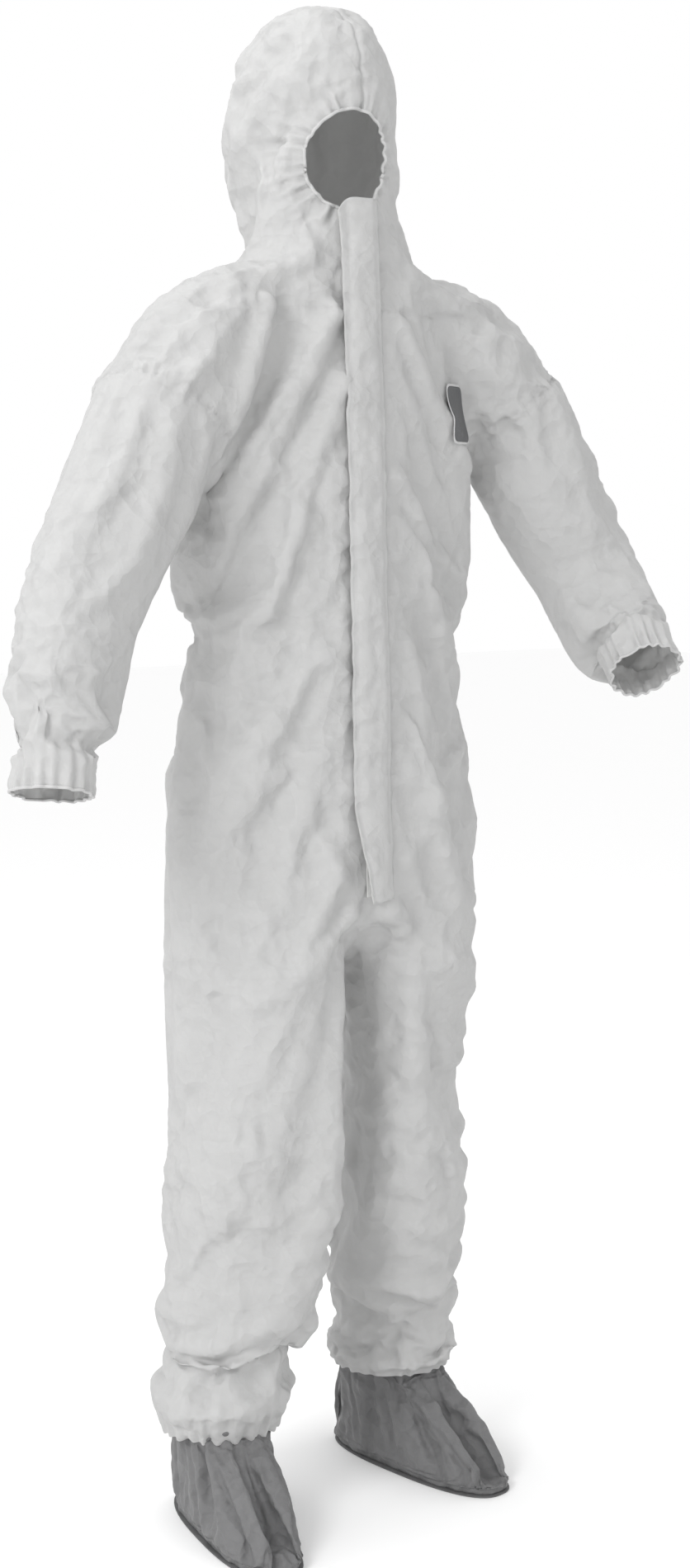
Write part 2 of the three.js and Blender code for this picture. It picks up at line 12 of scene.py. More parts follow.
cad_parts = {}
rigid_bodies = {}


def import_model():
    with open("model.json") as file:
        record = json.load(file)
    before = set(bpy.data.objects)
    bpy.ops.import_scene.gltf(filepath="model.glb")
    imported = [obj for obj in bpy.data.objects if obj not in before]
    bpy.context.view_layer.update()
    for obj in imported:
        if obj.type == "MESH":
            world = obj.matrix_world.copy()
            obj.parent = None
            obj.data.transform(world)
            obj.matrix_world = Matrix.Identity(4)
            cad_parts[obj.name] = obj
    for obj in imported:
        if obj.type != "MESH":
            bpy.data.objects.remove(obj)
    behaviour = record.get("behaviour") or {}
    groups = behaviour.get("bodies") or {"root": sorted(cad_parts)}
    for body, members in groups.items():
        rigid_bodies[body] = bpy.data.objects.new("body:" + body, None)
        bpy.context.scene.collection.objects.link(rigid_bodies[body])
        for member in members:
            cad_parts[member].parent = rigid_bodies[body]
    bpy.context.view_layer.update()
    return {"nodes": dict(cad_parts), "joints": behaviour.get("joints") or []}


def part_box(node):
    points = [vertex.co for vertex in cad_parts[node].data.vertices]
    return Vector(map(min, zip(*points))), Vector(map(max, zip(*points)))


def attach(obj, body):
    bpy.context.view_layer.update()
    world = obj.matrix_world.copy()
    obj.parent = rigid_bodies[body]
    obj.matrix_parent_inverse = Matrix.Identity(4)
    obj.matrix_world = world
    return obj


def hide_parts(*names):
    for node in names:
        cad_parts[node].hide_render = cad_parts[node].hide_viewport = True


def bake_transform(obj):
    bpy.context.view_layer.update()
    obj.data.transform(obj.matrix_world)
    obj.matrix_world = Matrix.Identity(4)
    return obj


bl_info = {
    "name": "Protective Coverall",
    "version": (1, 0, 0),
    "blender": (4, 5, 0),
    "location": "View3D > Sidebar > Coverall",
    "description": "Makes a hooded coverall of crumpled non-woven sheet with sewn-on boots",
    "category": "Add Mesh",
}

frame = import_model()
JOINTS = {joint["name"]: joint for joint in frame["joints"]}
SIDES = {"right": -1, "left": 1}
DOWN = Vector((0, 0, -1))
UP = Vector((0, 0, 1))


def joint_place(name):
    return Vector(JOINTS[name]["pos_m"])


def box_middle(node):
    low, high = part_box(node)
    return (Vector(low) + Vector(high)) / 2


# ---- places and sizes taken from the frame ----

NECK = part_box("back_panel")[1].z
NECK = min(NECK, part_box("hood_panel_left")[0].z)
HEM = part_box("leg_lower_left")[0].z
SLIDE_WAY = Vector(JOINTS["zip_slide"]["axis"]).normalized()
ZIP_LOW = Vector((0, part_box("zip_bottom_stop")[0].y + 0.001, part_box("zip_bottom_stop")[0].z))
ZIP_HIGH = Vector((0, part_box("zip_top_stop")[0].y + 0.001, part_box("zip_top_stop")[1].z))
ZIP_SLOT = 0.009  # half the gap between the front panels, over the tapes
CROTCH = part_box("front_panel_left")[0].z + 0.03
FACE = box_middle("face_elastic") + Vector((-0.010, 0, -0.001))


def zip_y(height):
    """How far forward the zip's straight line is at a height."""
    share = (height - ZIP_LOW.z) / (ZIP_HIGH.z - ZIP_LOW.z)
    return ZIP_LOW.y + (ZIP_HIGH.y - ZIP_LOW.y) * share


# ---- settings ----


class CoverallCloth(bpy.types.PropertyGroup):
    """Sizes and settings of the cloth."""

    cell: FloatProperty(name="Cell", description="Size of one cell of cloth", default=0.0105, min=0.006, unit="LENGTH")
    fullness: FloatProperty(name="Fullness", description="Spare cloth in every direction, as a share", default=0.055)
    frames: IntProperty(name="Settling steps", description="Steps that the cloth settles for", default=26, min=2)
    wall: FloatProperty(name="Thickness", description="Thickness of the cloth", default=0.0006, unit="LENGTH")
    face_width: FloatProperty(name="Face width", description="Half width of the face opening", default=0.052, unit="LENGTH")
    face_height: FloatProperty(name="Face height", description="Half height of the face opening", default=0.057, unit="LENGTH")


class CoverallLooks(bpy.types.PropertyGroup):
    """Colours."""

    sheet: FloatVectorProperty(
        name="Sheet", description="White non-woven sheet", subtype="COLOR", size=3, default=(0.63, 0.63, 0.627)
    )
    boot: FloatVectorProperty(
        name="Boot", description="Dark grey boot cloth", subtype="COLOR", size=3, default=(0.165, 0.165, 0.167)
    )
    patch: FloatVectorProperty(
        name="Patch", description="Chest patch", subtype="COLOR", size=3, default=(0.085, 0.087, 0.09)
    )
    plastic: FloatVectorProperty(
        name="Zip", description="Zip coil and slider", subtype="COLOR", size=3, default=(0.8, 0.8, 0.79)
    )


def settings():
    return bpy.context.scene.coverall_cloth, bpy.context.scene.coverall_looks


# ---- materials ----


class Nodes:
    """A new material and short ways to add nodes to it."""

    def __init__(self, name):
        self.material = bpy.data.materials.new(name)
        self.material.use_nodes = True
        self.tree = self.material.node_tree
        self.shader = self.tree.nodes["Principled BSDF"]
        self.coordinates = self.tree.nodes.new("ShaderNodeTexCoord").outputs["Object"]

    def add(self, kind, **values):
        node = self.tree.nodes.new(kind)
        for key, value in values.items():
            if key in node.inputs:
                node.inputs[key].default_value = value
            else:
                setattr(node, key, value)
        return node

    def link(self, start, end):
        self.tree.links.new(start, end)

    def noise(self, scale, detail=4, roughness=0.55, stretch=(1, 1, 1), distortion=0.0):
        spread = self.add("ShaderNodeMapping")
        spread.inputs["Scale"].default_value = stretch
        texture = self.add("ShaderNodeTexNoise", Scale=scale, Detail=detail, Roughness=roughness)
        texture.inputs["Distortion"].default_value = distortion
        self.link(self.coordinates, spread.inputs["Vector"])
        self.link(spread.outputs["Vector"], texture.inputs["Vector"])
        return texture.outputs["Fac"]

    def ridges(self, scale, warp=0.02):
        """Sharp creases between flat facets, as in crumpled sheet."""
        shift = self.add("ShaderNodeTexNoise", Scale=scale * 0.7, Detail=3)
        mixed = self.add("ShaderNodeVectorMath", operation="MULTIPLY_ADD")
        mixed.inputs[1].default_value = (warp,) * 3
        self.link(self.coordinates, shift.inputs["Vector"])
        self.link(shift.outputs["Color"], mixed.inputs[0])
        self.link(self.coordinates, mixed.inputs[2])
        cells = self.add("ShaderNodeTexVoronoi", Scale=scale, feature="F1")
        cells.inputs["Randomness"].default_value = 1
        self.link(mixed.outputs["Vector"], cells.inputs["Vector"])
        return cells.outputs["Distance"]

    def bumps(self, *layers):
        """Bump nodes in a row, each with its height, strength and depth."""
        normal = None
        for height, strength, distance in layers:
            bump = self.add("ShaderNodeBump", Strength=strength, Distance=distance)
            self.link(height, bump.inputs["Height"])
            if normal:
                self.link(normal, bump.inputs["Normal"])
            normal = bump.outputs["Normal"]
        self.link(normal, self.shader.inputs["Normal"])

    def colour(self, factor, dark, light, low=0.3, high=0.7):
        ramp = self.add("ShaderNodeValToRGB")
        ramp.color_ramp.elements[0].position = low
        ramp.color_ramp.elements[1].position = high
        ramp.color_ramp.elements[0].color = (*dark, 1)
        ramp.color_ramp.elements[1].color = (*light, 1)
        self.link(factor, ramp.inputs["Fac"])
        self.link(ramp.outputs["Color"], self.shader.inputs["Base Color"])

    def let_light_through(self, share, colour):
        """Mixes in light that comes through the thin sheet."""
        through = self.add("ShaderNodeBsdfTranslucent", Color=(*colour, 1))
        mix = self.add("ShaderNodeMixShader", Fac=share)
        self.link(self.shader.outputs["BSDF"], mix.inputs[1])
        self.link(through.outputs["BSDF"], mix.inputs[2])
        self.link(mix.outputs["Shader"], self.tree.nodes["Material Output"].inputs["Surface"])

    def finish(self, **values):
        for key, value in values.items():
            self.shader.inputs[key.replace("_", " ")].default_value = value
        return self.material


def shade(colour, share):
    return tuple(min(1, channel * share) for channel in colour)


def sheet_material(name, colour, crumple=1.0, through=0.0):
    """Flash-spun sheet: matt, with a fine swirl of fibres and crumpled facets."""
    made = Nodes(name)
    swirl = made.noise(210, detail=6, roughness=0.7, distortion=1.4)
    cloudy = made.noise(38, detail=4, roughness=0.6)
    crumple_height = made.ridges(24, 0.03)
    fine_crumple = made.ridges(62, 0.012)
    if through:
        made.let_light_through(through, shade(colour, 1.25))
    made.colour(cloudy, shade(colour, 0.955), colour, 0.3, 0.65)
    made.bumps(
        (crumple_height, 0.55 * crumple, 0.012),
        (fine_crumple, 0.46 * crumple, 0.005),
        (swirl, 0.14, 0.0010),
    )
    return made.finish(Roughness=0.62, Specular_IOR_Level=0.35, Sheen_Weight=0.08, Sheen_Roughness=0.5)


def make_materials():
    _, looks = settings()
    sheet = tuple(looks.sheet)
    boot = tuple(looks.boot)
    made = {
        "sheet": sheet_material("white_sheet", sheet, through=0.30),
        "boot": sheet_material("boot_sheet", boot, 1.5),
        "sole": sheet_material("sole_sheet", shade(boot, 0.72), 0.6),
        # Painted shade: the elastic edges are the same white sheet, darkened to 0.82 of its colour so that they look
        # as dim as the light-passing sheet beside them.
        "elastic": sheet_material("gathered_edge_painted_shade", shade(sheet, 0.82), 1.2),
    }
    patch = Nodes("patch_print")
    patch.colour(patch.noise(300), shade(tuple(looks.patch), 0.9), shade(tuple(looks.patch), 1.1))
    patch.bumps((patch.noise(500), 0.15, 0.0004))
    made["patch"] = patch.finish(Roughness=0.5)
    rim = Nodes("patch_rim")
    rim.colour(rim.noise(300), (0.5, 0.5, 0.5), (0.56, 0.56, 0.56))
    made["rim"] = rim.finish(Roughness=0.5)
    plastic = Nodes("zip_plastic")
    plastic.colour(plastic.noise(120), shade(tuple(looks.plastic), 0.94), tuple(looks.plastic))
    plastic.bumps((plastic.noise(700), 0.1, 0.0002))
    made["plastic"] = plastic.finish(Roughness=0.38)
    tape = Nodes("zip_tape")
    tape.colour(tape.noise(160), (0.62, 0.62, 0.61), (0.7, 0.7, 0.69))
    tape.bumps((tape.noise(900, stretch=(1, 1, 0.2)), 0.3, 0.0003))
    made["tape"] = tape.finish(Roughness=0.8)
    return made


def material(kind):
    names = {
        "sheet": "white_sheet",
        "boot": "boot_sheet",
        "sole": "sole_sheet",
        "elastic": "gathered_edge_painted_shade",
        "patch": "patch_print",
        "rim": "patch_rim",
        "plastic": "zip_plastic",
        "tape": "zip_tape",
    }
    return bpy.data.materials[names[kind]]


# ---- mesh helpers ----


def new_object(name, mesh):
    made = bpy.data.objects.new(name, mesh)
    bpy.context.scene.collection.objects.link(made)
    return made


def object_from(bm, name):
    mesh = bpy.data.meshes.new(name)
    bm.to_mesh(mesh)
    bm.free()
    return new_object(name, mesh)


def dress(piece, kind, body=None, nodes=()):
    """Gives a piece its material and body, and hides the CAD nodes that it stands for."""
    if kind:
        piece.data.materials.clear()
        piece.data.materials.append(material(kind))
    if body:
        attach(piece, body)
    if nodes:
        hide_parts(*nodes)
    return piece


def remove(*objects):
    for gone in objects:
        bpy.data.objects.remove(gone)


def turned_to(direction):
    return UP.rotation_difference(direction).to_matrix().to_4x4()


def ring_tube(bm, rings, segments=32):
    """A closed tube through rings of (centre, direction, half width, half depth)."""
    loops = []
    for index, (centre, direction, wide, deep) in enumerate(rings):
        place = Matrix.Translation(centre) @ turned_to(direction) @ Matrix.Diagonal((wide, deep, 1, 1))
        capped = index in (0, len(rings) - 1)
        made = bmesh.ops.create_circle(bm, cap_ends=capped, segments=segments, radius=1, matrix=place)
        around = set(made["verts"])
        loops.append([e for v in around for e in v.link_edges if set(e.verts) <= around])
    for low, high in zip(loops, loops[1:]):
        bmesh.ops.bridge_loops(bm, edges=list(set(low) | set(high)))


def evaluated_copy(source, name):
    """The shape of an object with its modifiers, as a new object."""
    graph = bpy.context.evaluated_depsgraph_get()
    mesh = bpy.data.meshes.new_from_object(source.evaluated_get(graph), depsgraph=graph)
    mesh.name = name
    return new_object(name, mesh)


def remeshed(source, cell, name):
    modifier = source.modifiers.new("Remesh", "REMESH")
    modifier.mode = "VOXEL"
    modifier.voxel_size = cell
    made = evaluated_copy(source, name)
    remove(source)
    return made


# ---- outlines ----

# Body and hood, as height, how far to the left, half width, front and back. A front of None lies on the zip's line.
BODY_RINGS = (
    (0.700, 0.020, 0.110, -0.070, 0.080),
    (0.725, 0.020, 0.180, -0.110, 0.110),
    (0.770, 0.025, 0.220, None, 0.130),
    (0.840, 0.025, 0.230, None, 0.135),
    (0.920, 0.020, 0.220, None, 0.125),
    (1.000, 0.020, 0.195, None, 0.110),
    (1.060, 0.020, 0.195, None, 0.110),
    (1.150, 0.020, 0.200, None, 0.120),
    (1.260, 0.020, 0.205, None, 0.125),
    (1.340, 0.025, 0.205, None, 0.125),
    (1.400, 0.025, 0.185, None, 0.110),
    (1.445, 0.020, 0.150, None, 0.095),
    (1.480, 0.015, 0.125, None, 0.090),
    (1.515, 0.010, 0.095, None, 0.085),
    (1.550, 0.005, 0.088, -0.092, 0.092),
    (1.600, 0.005, 0.098, -0.096, 0.110),
    (1.650, 0.005, 0.100, -0.102, 0.122),
    (1.700, 0.005, 0.095, -0.104, 0.124),
    (1.745, 0.005, 0.080, -0.094, 0.112),
    (1.776, 0.005, 0.060, -0.072, 0.088),
    (1.794, 0.005, 0.034, -0.042, 0.056),
)
# Each shoulder, as share of the way from the neck to the sleeve's seam, rise over that line, radius and lean.
NECK_POINT = (0.080, -0.006, 1.458)
SHOULDER_RINGS = (
    (0.00, 0.000, 0.056, 0.95),
    (0.42, 0.032, 0.073, 0.88),
    (0.78, 0.027, 0.082, 0.78),
)
# Each sleeve, as share of the way from shoulder to elbow to cuff, and radius.
SLEEVE_RADII = (
    (0.00, 0.081),
    (0.30, 0.078),
    (0.65, 0.072),
    (1.00, 0.066),
    (1.35, 0.067),
    (1.65, 0.062),
    (1.84, 0.049),
    (1.93, 0.043),
    (2.06, 0.051),
)
HEM_RISE = {"right": 0.002, "left": 0.014}  # of the cloth's hem over the frame's
# Each leg, as share of the way from hip to knee to hem, half width and half depth.
LEG_SHAPE = (
    (-0.80, 0.105, 0.110),
    (0.00, 0.100, 0.100),
    (0.70, 0.088, 0.088),
    (1.00, 0.090, 0.090),
    (1.15, 0.100, 0.098),
    (1.35, 0.090, 0.090),
    (1.55, 0.094, 0.094),
    (1.70, 0.084, 0.086),
    (1.87, 0.090, 0.090),
    (2.00, 0.070, 0.070),
    (2.07, 0.064, 0.064),
)
# How the cloth of each leg hangs off its joints: at the hip, the knee and the hem.
LEG_EASE = {
    "right": ((0.020, 0.000, 0.000), (0.005, -0.005, 0.000), (0.000, 0.000, 0.000)),
    "left": ((0.028, 0.000, 0.000), (0.018, 0.004, 0.000), (0.003, 0.030, 0.000)),
}
# How the cloth of each arm hangs off its joints: at the shoulder, the elbow and the cuff.
ARM_EASE = {
    "right": ((0.030, 0.000, 0.004), (-0.022, 0.000, 0.004), (-0.012, 0.000, -0.022)),
    "left": ((0.032, 0.000, 0.026), (0.036, 0.000, 0.022), (-0.006, 0.000, 0.010)),
}


def find_arm(side):
    """Middle of the sleeve's seam, elbow and cuff end."""
    places = (joint_place("shoulder_" + side), joint_place("elbow_" + side), box_middle("cuff_elastic_" + side))
    shoulder, elbow, cuff = (place + Vector(ease) for place, ease in zip(places, ARM_EASE[side]))
    return shoulder, elbow, cuff + (cuff - elbow).normalized() * 0.006


def find_leg(side):
    """Middle of the leg at the hip, the knee and the hem."""
    ankle = box_middle("ankle_elastic_" + side)
    places = (joint_place("hip_" + side), joint_place("knee_" + side), Vector((ankle.x, ankle.y, HEM)))
    return tuple(place + Vector(ease) for place, ease in zip(places, LEG_EASE[side]))


ARMS = {side: find_arm(side) for side in SIDES}
LEGS = {side: find_leg(side) for side in SIDES}
WAIST = box_middle("waist_elastic").z


def along_arm(side, share):
    """The point a share of the way down an arm, bent round at the elbow, and its direction."""
    shoulder, elbow, cuff = ARMS[side]
    upper, lower = elbow - shoulder, cuff - elbow
    turn = max(0.0, min(1.0, (share - 0.75) / 0.5))
    turn = turn * turn * (3 - 2 * turn)
    direction = upper.normalized().lerp(lower.normalized(), turn).normalized()
    if share <= 0.75:
        return shoulder + upper * share, direction
    if share >= 1.25:
        return elbow + lower * (share - 1), direction
    start = shoulder + upper * 0.75
    end = elbow + lower * 0.25
    t = (share - 0.75) / 0.5
    return start.lerp(elbow, t).lerp(elbow.lerp(end, t), t), direction


def along_leg(side, share):
    """The point a share of the way down a leg; above the hip it goes straight up."""
    hip, knee, hem = LEGS[side]
    if share < 0:
        return hip + UP * (knee.z - hip.z) * share
    if share <= 1:
        return hip.lerp(knee, share)
    return knee + (hem - knee) * (share - 1)


def suit_solid(shrink, name):
    """The whole suit but its boots as closed overlapping tubes, thinner by shrink."""
    bm = bmesh.new()
    rings = []
    for height, aside, half_width, front, back in BODY_RINGS:
        front = zip_y(height) if front is None else front
        centre = Vector((aside, (front + back) / 2, height))
        rings.append((centre, UP, half_width - shrink, (back - front) / 2 - shrink))
    ring_tube(bm, rings)
    for side, sign in SIDES.items():
        rings = []
        neck = Vector((NECK_POINT[0] * sign + 0.014, *NECK_POINT[1:]))
        for share, rise, radius, lean in SHOULDER_RINGS:
            way = Vector((lean * sign, 0, -math.sqrt(1 - lean * lean)))
            rings.append((neck.lerp(ARMS[side][0], share) + UP * rise, way, radius - shrink, radius - shrink))
        for share, radius in SLEEVE_RADII:
            place, direction = along_arm(side, share)
            if share == 0:
                direction = (direction + Vector((0.9 * sign, 0, -0.3))).normalized()
            rings.append((place, direction, radius - shrink, radius - shrink))
        ring_tube(bm, rings)
        rings = []
        for share, wide, deep in LEG_SHAPE:
            rings.append((along_leg(side, share), UP, wide - shrink, deep - shrink))
        ring_tube(bm, rings[::-1])
    return object_from(bm, name)


# ---- the cloth ----

FRONT_RIGHT, FRONT_LEFT, BACK, HOOD_RIGHT, HOOD_LEFT = range(5)
SLEEVE_UPPER, SLEEVE_LOWER, LEG_UPPER, LEG_LOWER = 5, 7, 9, 11  # plus one on the left
SLEEVE_REACH = 0.125
LEG_TOP = 0.688
THIGH_SPLIT = 0.565
ARM_SPLIT = 0.5


def cut_near(bm, centre, normal, reach, keep=None):
    """Cuts the cloth where a plane crosses it near a point, and removes what lies past it if asked."""
    near = [f for f in bm.faces if (f.calc_center_median() - centre).length < reach]
    parts = near + list({e for f in near for e in f.edges}) + list({v for f in near for v in f.verts})
    bmesh.ops.bisect_plane(bm, geom=parts, dist=0.0008, plane_co=centre, plane_no=normal)
    if keep is None:
        return
    gone = [
        f
        for f in bm.faces
        if (f.calc_center_median() - centre).length < reach and (f.calc_center_median() - centre).dot(normal) > 0
    ]
    bmesh.ops.delete(bm, geom=gone, context="FACES")


def face_share(point):
    """Under 1 inside the face opening, seen from the front."""
    cloth, _ = settings()
    return math.hypot((point.x - FACE.x) / cloth.face_width, (point.z - FACE.z) / cloth.face_height)


def cut_openings(bm):
    for side in SIDES:
        _, elbow, cuff = ARMS[side]
        cut_near(bm, cuff + (cuff - elbow).normalized() * 0.004, (cuff - elbow).normalized(), 0.09, keep=True)
        cut_near(bm, LEGS[side][2] + UP * HEM_RISE[side], DOWN, 0.12, keep=True)
    opening = [f for f in bm.faces if f.calc_center_median().y < -0.03 and face_share(f.calc_center_median()) < 1]
    bmesh.ops.delete(bm, geom=opening, context="FACES")
    for vert in bm.verts:
        share = face_share(vert.co)
        if vert.is_boundary and vert.co.y < -0.03 and 0.6 < share < 1.5 and abs(vert.co.z - FACE.z) < 0.1:
            vert.co.x = FACE.x + (vert.co.x - FACE.x) / share
            vert.co.z = FACE.z + (vert.co.z - FACE.z) / share


def cut_seams(bm):
    """Cuts along each seam, so that the cloth's cells end there."""
    for height in (NECK, LEG_TOP, THIGH_SPLIT):
        everything = bm.verts[:] + bm.edges[:] + bm.faces[:]
        bmesh.ops.bisect_plane(bm, geom=everything, dist=0.0008, plane_co=(0, 0, height), plane_no=(0, 0, 1))
    tall = [f for f in bm.faces if f.calc_center_median().z > LEG_TOP and abs(f.calc_center_median().x) < 0.3]
    parts = tall + list({e for f in tall for e in f.edges}) + list({v for f in tall for v in f.verts})
    bmesh.ops.bisect_plane(bm, geom=parts, dist=0.0008, plane_co=(0, 0, 0), plane_no=(1, 0, 0))
    for x in (-ZIP_SLOT, ZIP_SLOT):
        slot = [
            f
            for f in bm.faces
            if f.calc_center_median().y < -0.02
            and abs(f.calc_center_median().x) < 0.03
            and ZIP_LOW.z < f.calc_center_median().z < ZIP_HIGH.z + 0.03
        ]
        parts = slot + list({e for f in slot for e in f.edges}) + list({v for f in slot for v in f.verts})
        bmesh.ops.bisect_plane(bm, geom=parts, dist=0.0008, plane_co=(x, 0, 0), plane_no=(1, 0, 0))
    gone = [
        f
        for f in bm.faces
        if f.calc_center_median().y < -0.02
        and abs(f.calc_center_median().x) < ZIP_SLOT - 0.0005
        and ZIP_LOW.z < f.calc_center_median().z < ZIP_HIGH.z + 0.03
    ]
    bmesh.ops.delete(bm, geom=gone, context="FACES")
    for side in SIDES:
        shoulder, elbow, _ = ARMS[side]
        for share in (0, ARM_SPLIT):
            place, _ = along_arm(side, share)
            cut_near(bm, place, (elbow - shoulder).normalized(), SLEEVE_REACH)
    bmesh.ops.remove_doubles(bm, verts=bm.verts, dist=0.0028)


def region_of(point):
    """Which piece of the suit a point of the unsettled cloth belongs to."""
    if point.z > NECK and abs(point.x) < 0.16:
        return HOOD_RIGHT if point.x < 0 else HOOD_LEFT
    if point.z < LEG_TOP:
        base = LEG_UPPER if point.z > THIGH_SPLIT else LEG_LOWER
        return base + (point.x > 0)
    side = "left" if point.x > 0 else "right"
    shoulder, elbow, cuff = ARMS[side]
    way = (elbow - shoulder).normalized()
    along = (point - shoulder).dot(way)
    aside = (point - shoulder - way * along).length
    past_seam = along > 0 and aside < SLEEVE_REACH - 0.025
    if abs(point.x) > 0.30 or (past_seam and abs(point.x) > 0.19):
        split, _ = along_arm(side, ARM_SPLIT)
        base = SLEEVE_LOWER if (point - split).dot(way) > 0 else SLEEVE_UPPER
        return base + (point.x > 0)
    if point.y > 0.004:
        return BACK
    return FRONT_RIGHT if point.x < 0 else FRONT_LEFT


def smooth_step(low, high, value):
    t = max(0.0, min(1.0, (value - low) / (high - low)))
    return t * t * (3 - 2 * t)


def hold_at(point):
    """How firmly the cloth is held at a point: 1 is fixed."""
    hold = 0.0
    front = 1 - smooth_step(0.018, 0.07, abs(point.x))
    if point.y < -0.02 and point.z > CROTCH:
        hold = max(hold, front)
    if point.z > 1.53:
        hold = max(hold, 1 - smooth_step(1.0, 1.5, face_share(point)) if point.y < 0 else 0, 0.12)
    hold = max(hold, 0.5 * (1 - smooth_step(0.0, 0.02, abs(point.z - NECK))) if abs(point.x) < 0.17 else 0)
    if point.z < 0.2:
        hold = max(hold, 1 - smooth_step(HEM + 0.004, HEM + 0.05, point.z))
    for side, sign in SIDES.items():
        if point.x * sign > 0.15:
            shoulder, elbow, cuff = ARMS[side]
            near_cuff = (point - cuff).dot((elbow - cuff).normalized())
            if (point - cuff).length < 0.16:
                hold = max(hold, 1 - smooth_step(0.012, 0.06, near_cuff))
            way = (elbow - shoulder).normalized()
            along = (point - shoulder).dot(way)
            if (point - shoulder).length < 0.13:
                hold = max(hold, 0.35 * (1 - smooth_step(0.0, 0.02, abs(along))))
    if point.y > 0 and abs(point.x) < 0.24:
        hold = max(hold, 0.8 * (1 - smooth_step(0.004, 0.03, abs(point.z - WAIST))))
    return hold


# Long folds that the wearer's stance pulls into the cloth: points along each, half width and height.
FOLDS = (
    (((-0.040, -0.12, 1.435), (-0.110, -0.11, 1.330), (-0.170, -0.10, 1.230)), 0.020, 0.013),
    (((-0.060, -0.12, 1.400), (-0.125, -0.11, 1.270), (-0.185, -0.09, 1.150)), 0.018, 0.011),
    (((-0.030, -0.12, 1.360), (-0.090, -0.12, 1.230), (-0.120, -0.12, 1.100)), 0.022, 0.009),
    (((-0.120, -0.08, 1.440), (-0.160, -0.08, 1.350), (-0.175, -0.07, 1.270)), 0.018, 0.012),
    (((0.060, -0.12, 1.420), (0.110, -0.11, 1.350), (0.190, -0.06, 1.270)), 0.018, 0.010),
    (((0.050, -0.12, 1.250), (0.110, -0.12, 1.190), (0.180, -0.09, 1.150)), 0.020, 0.008),
    (((-0.180, -0.09, 0.960), (-0.100, -0.12, 0.900), (-0.050, -0.13, 0.790)), 0.022, 0.009),
    (((0.180, -0.09, 0.930), (0.110, -0.12, 0.880), (0.050, -0.13, 0.800)), 0.022, 0.009),
    (((-0.030, -0.12, 0.740), (-0.080, -0.11, 0.690), (-0.160, -0.09, 0.660)), 0.018, 0.012),
    (((0.030, -0.12, 0.740), (0.090, -0.11, 0.690), (0.190, -0.08, 0.650)), 0.018, 0.014),
    (((0.060, -0.10, 0.600), (0.120, -0.11, 0.560), (0.190, -0.07, 0.570)), 0.018, 0.014),
    (((0.060, -0.08, 0.480), (0.130, -0.10, 0.430), (0.200, -0.05, 0.440)), 0.018, 0.016),
    (((-0.050, -0.08, 0.470), (-0.110, -0.10, 0.450), (-0.190, -0.07, 0.500)), 0.018, 0.012),
    (((-0.180, -0.07, 0.380), (-0.120, -0.10, 0.340), (-0.060, -0.08, 0.350)), 0.018, 0.010),
    (((0.060, -0.07, 0.400), (0.120, -0.09, 0.370), (0.190, -0.05, 0.390)), 0.020, 0.016),
    (((0.070, -0.08, 0.310), (0.130, -0.08, 0.285), (0.200, -0.04, 0.320)), 0.020, 0.014),
    (((-0.060, -0.08, 0.420), (-0.120, -0.10, 0.400), (-0.200, -0.06, 0.440)), 0.018, 0.012),
    (((-0.060, -0.08, 0.240), (-0.130, -0.09, 0.260), (-0.200, -0.06, 0.230)), 0.020, 0.012),
    (((-0.100, 0.12, 1.400), (-0.130, 0.12, 1.250), (-0.150, 0.11, 1.120)), 0.024, 0.010),
    (((0.110, 0.12, 1.400), (0.140, 0.12, 1.250), (0.160, 0.11, 1.120)), 0.024, 0.010),
    (((-0.160, 0.12, 0.900), (-0.100, 0.13, 0.780), (-0.080, 0.10, 0.660)), 0.024, 0.010),
    (((0.160, 0.12, 0.900), (0.100, 0.13, 0.780), (0.080, 0.10, 0.660)), 0.024, 0.010),
)


def fold_rise(point):
    """How far the long folds lift the cloth at a point."""
    rise = 0.0
    for points, half_width, height in FOLDS:
        for start, end in zip(points, points[1:]):
            start, end = Vector(start), Vector(end)
            way = end - start
            share = max(0.0, min(1.0, (point - start).dot(way) / way.length_squared))
            distance = (point - start - way * share).length
            if distance < 0.09 and abs(point.y - start.y - way.y * share) < 0.07:
                sideways = (point - start - way * share)
                flat = math.hypot(sideways.x, sideways.z)
                rise = max(rise, height * max(0.0, 1 - flat / half_width))
    return rise


def settle(cloth_object, form, pin, shrink, frames, bending):
    """Lets the cloth settle around a form, and keeps where it comes to rest."""
    form.modifiers.new("Collision", "COLLISION")
    form.collision.thickness_outer = 0.002
    modifier = cloth_object.modifiers.new("Cloth", "CLOTH")
    cloth = modifier.settings
    cloth.quality = 7
    cloth.mass = 0.12
    cloth.tension_stiffness = 40
    cloth.compression_stiffness = 40
    cloth.shear_stiffness = 18
    cloth.bending_stiffness = bending
    cloth.air_damping = 4
    cloth.vertex_group_mass = pin
    cloth.pin_stiffness = 1.0
    cloth.shrink_min = -shrink
    modifier.collision_settings.distance_min = 0.002
    modifier.collision_settings.collision_quality = 2
    modifier.point_cache.frame_end = frames + 1
    scene = bpy.context.scene
    for step in range(1, frames + 1):
        scene.frame_set(step)
    graph = bpy.context.evaluated_depsgraph_get()
    settled = cloth_object.evaluated_get(graph).data
    places = [vert.co.copy() for vert in settled.vertices]
    cloth_object.modifiers.clear()
    scene.frame_set(1)
    for vert, place in zip(cloth_object.data.vertices, places):
        vert.co = place
    return places


def crumple(point, normal, strength):
    folds = noise.noise(point * 9.0) + 0.5 * noise.noise(point * 21.0)
    return point + normal * strength * folds


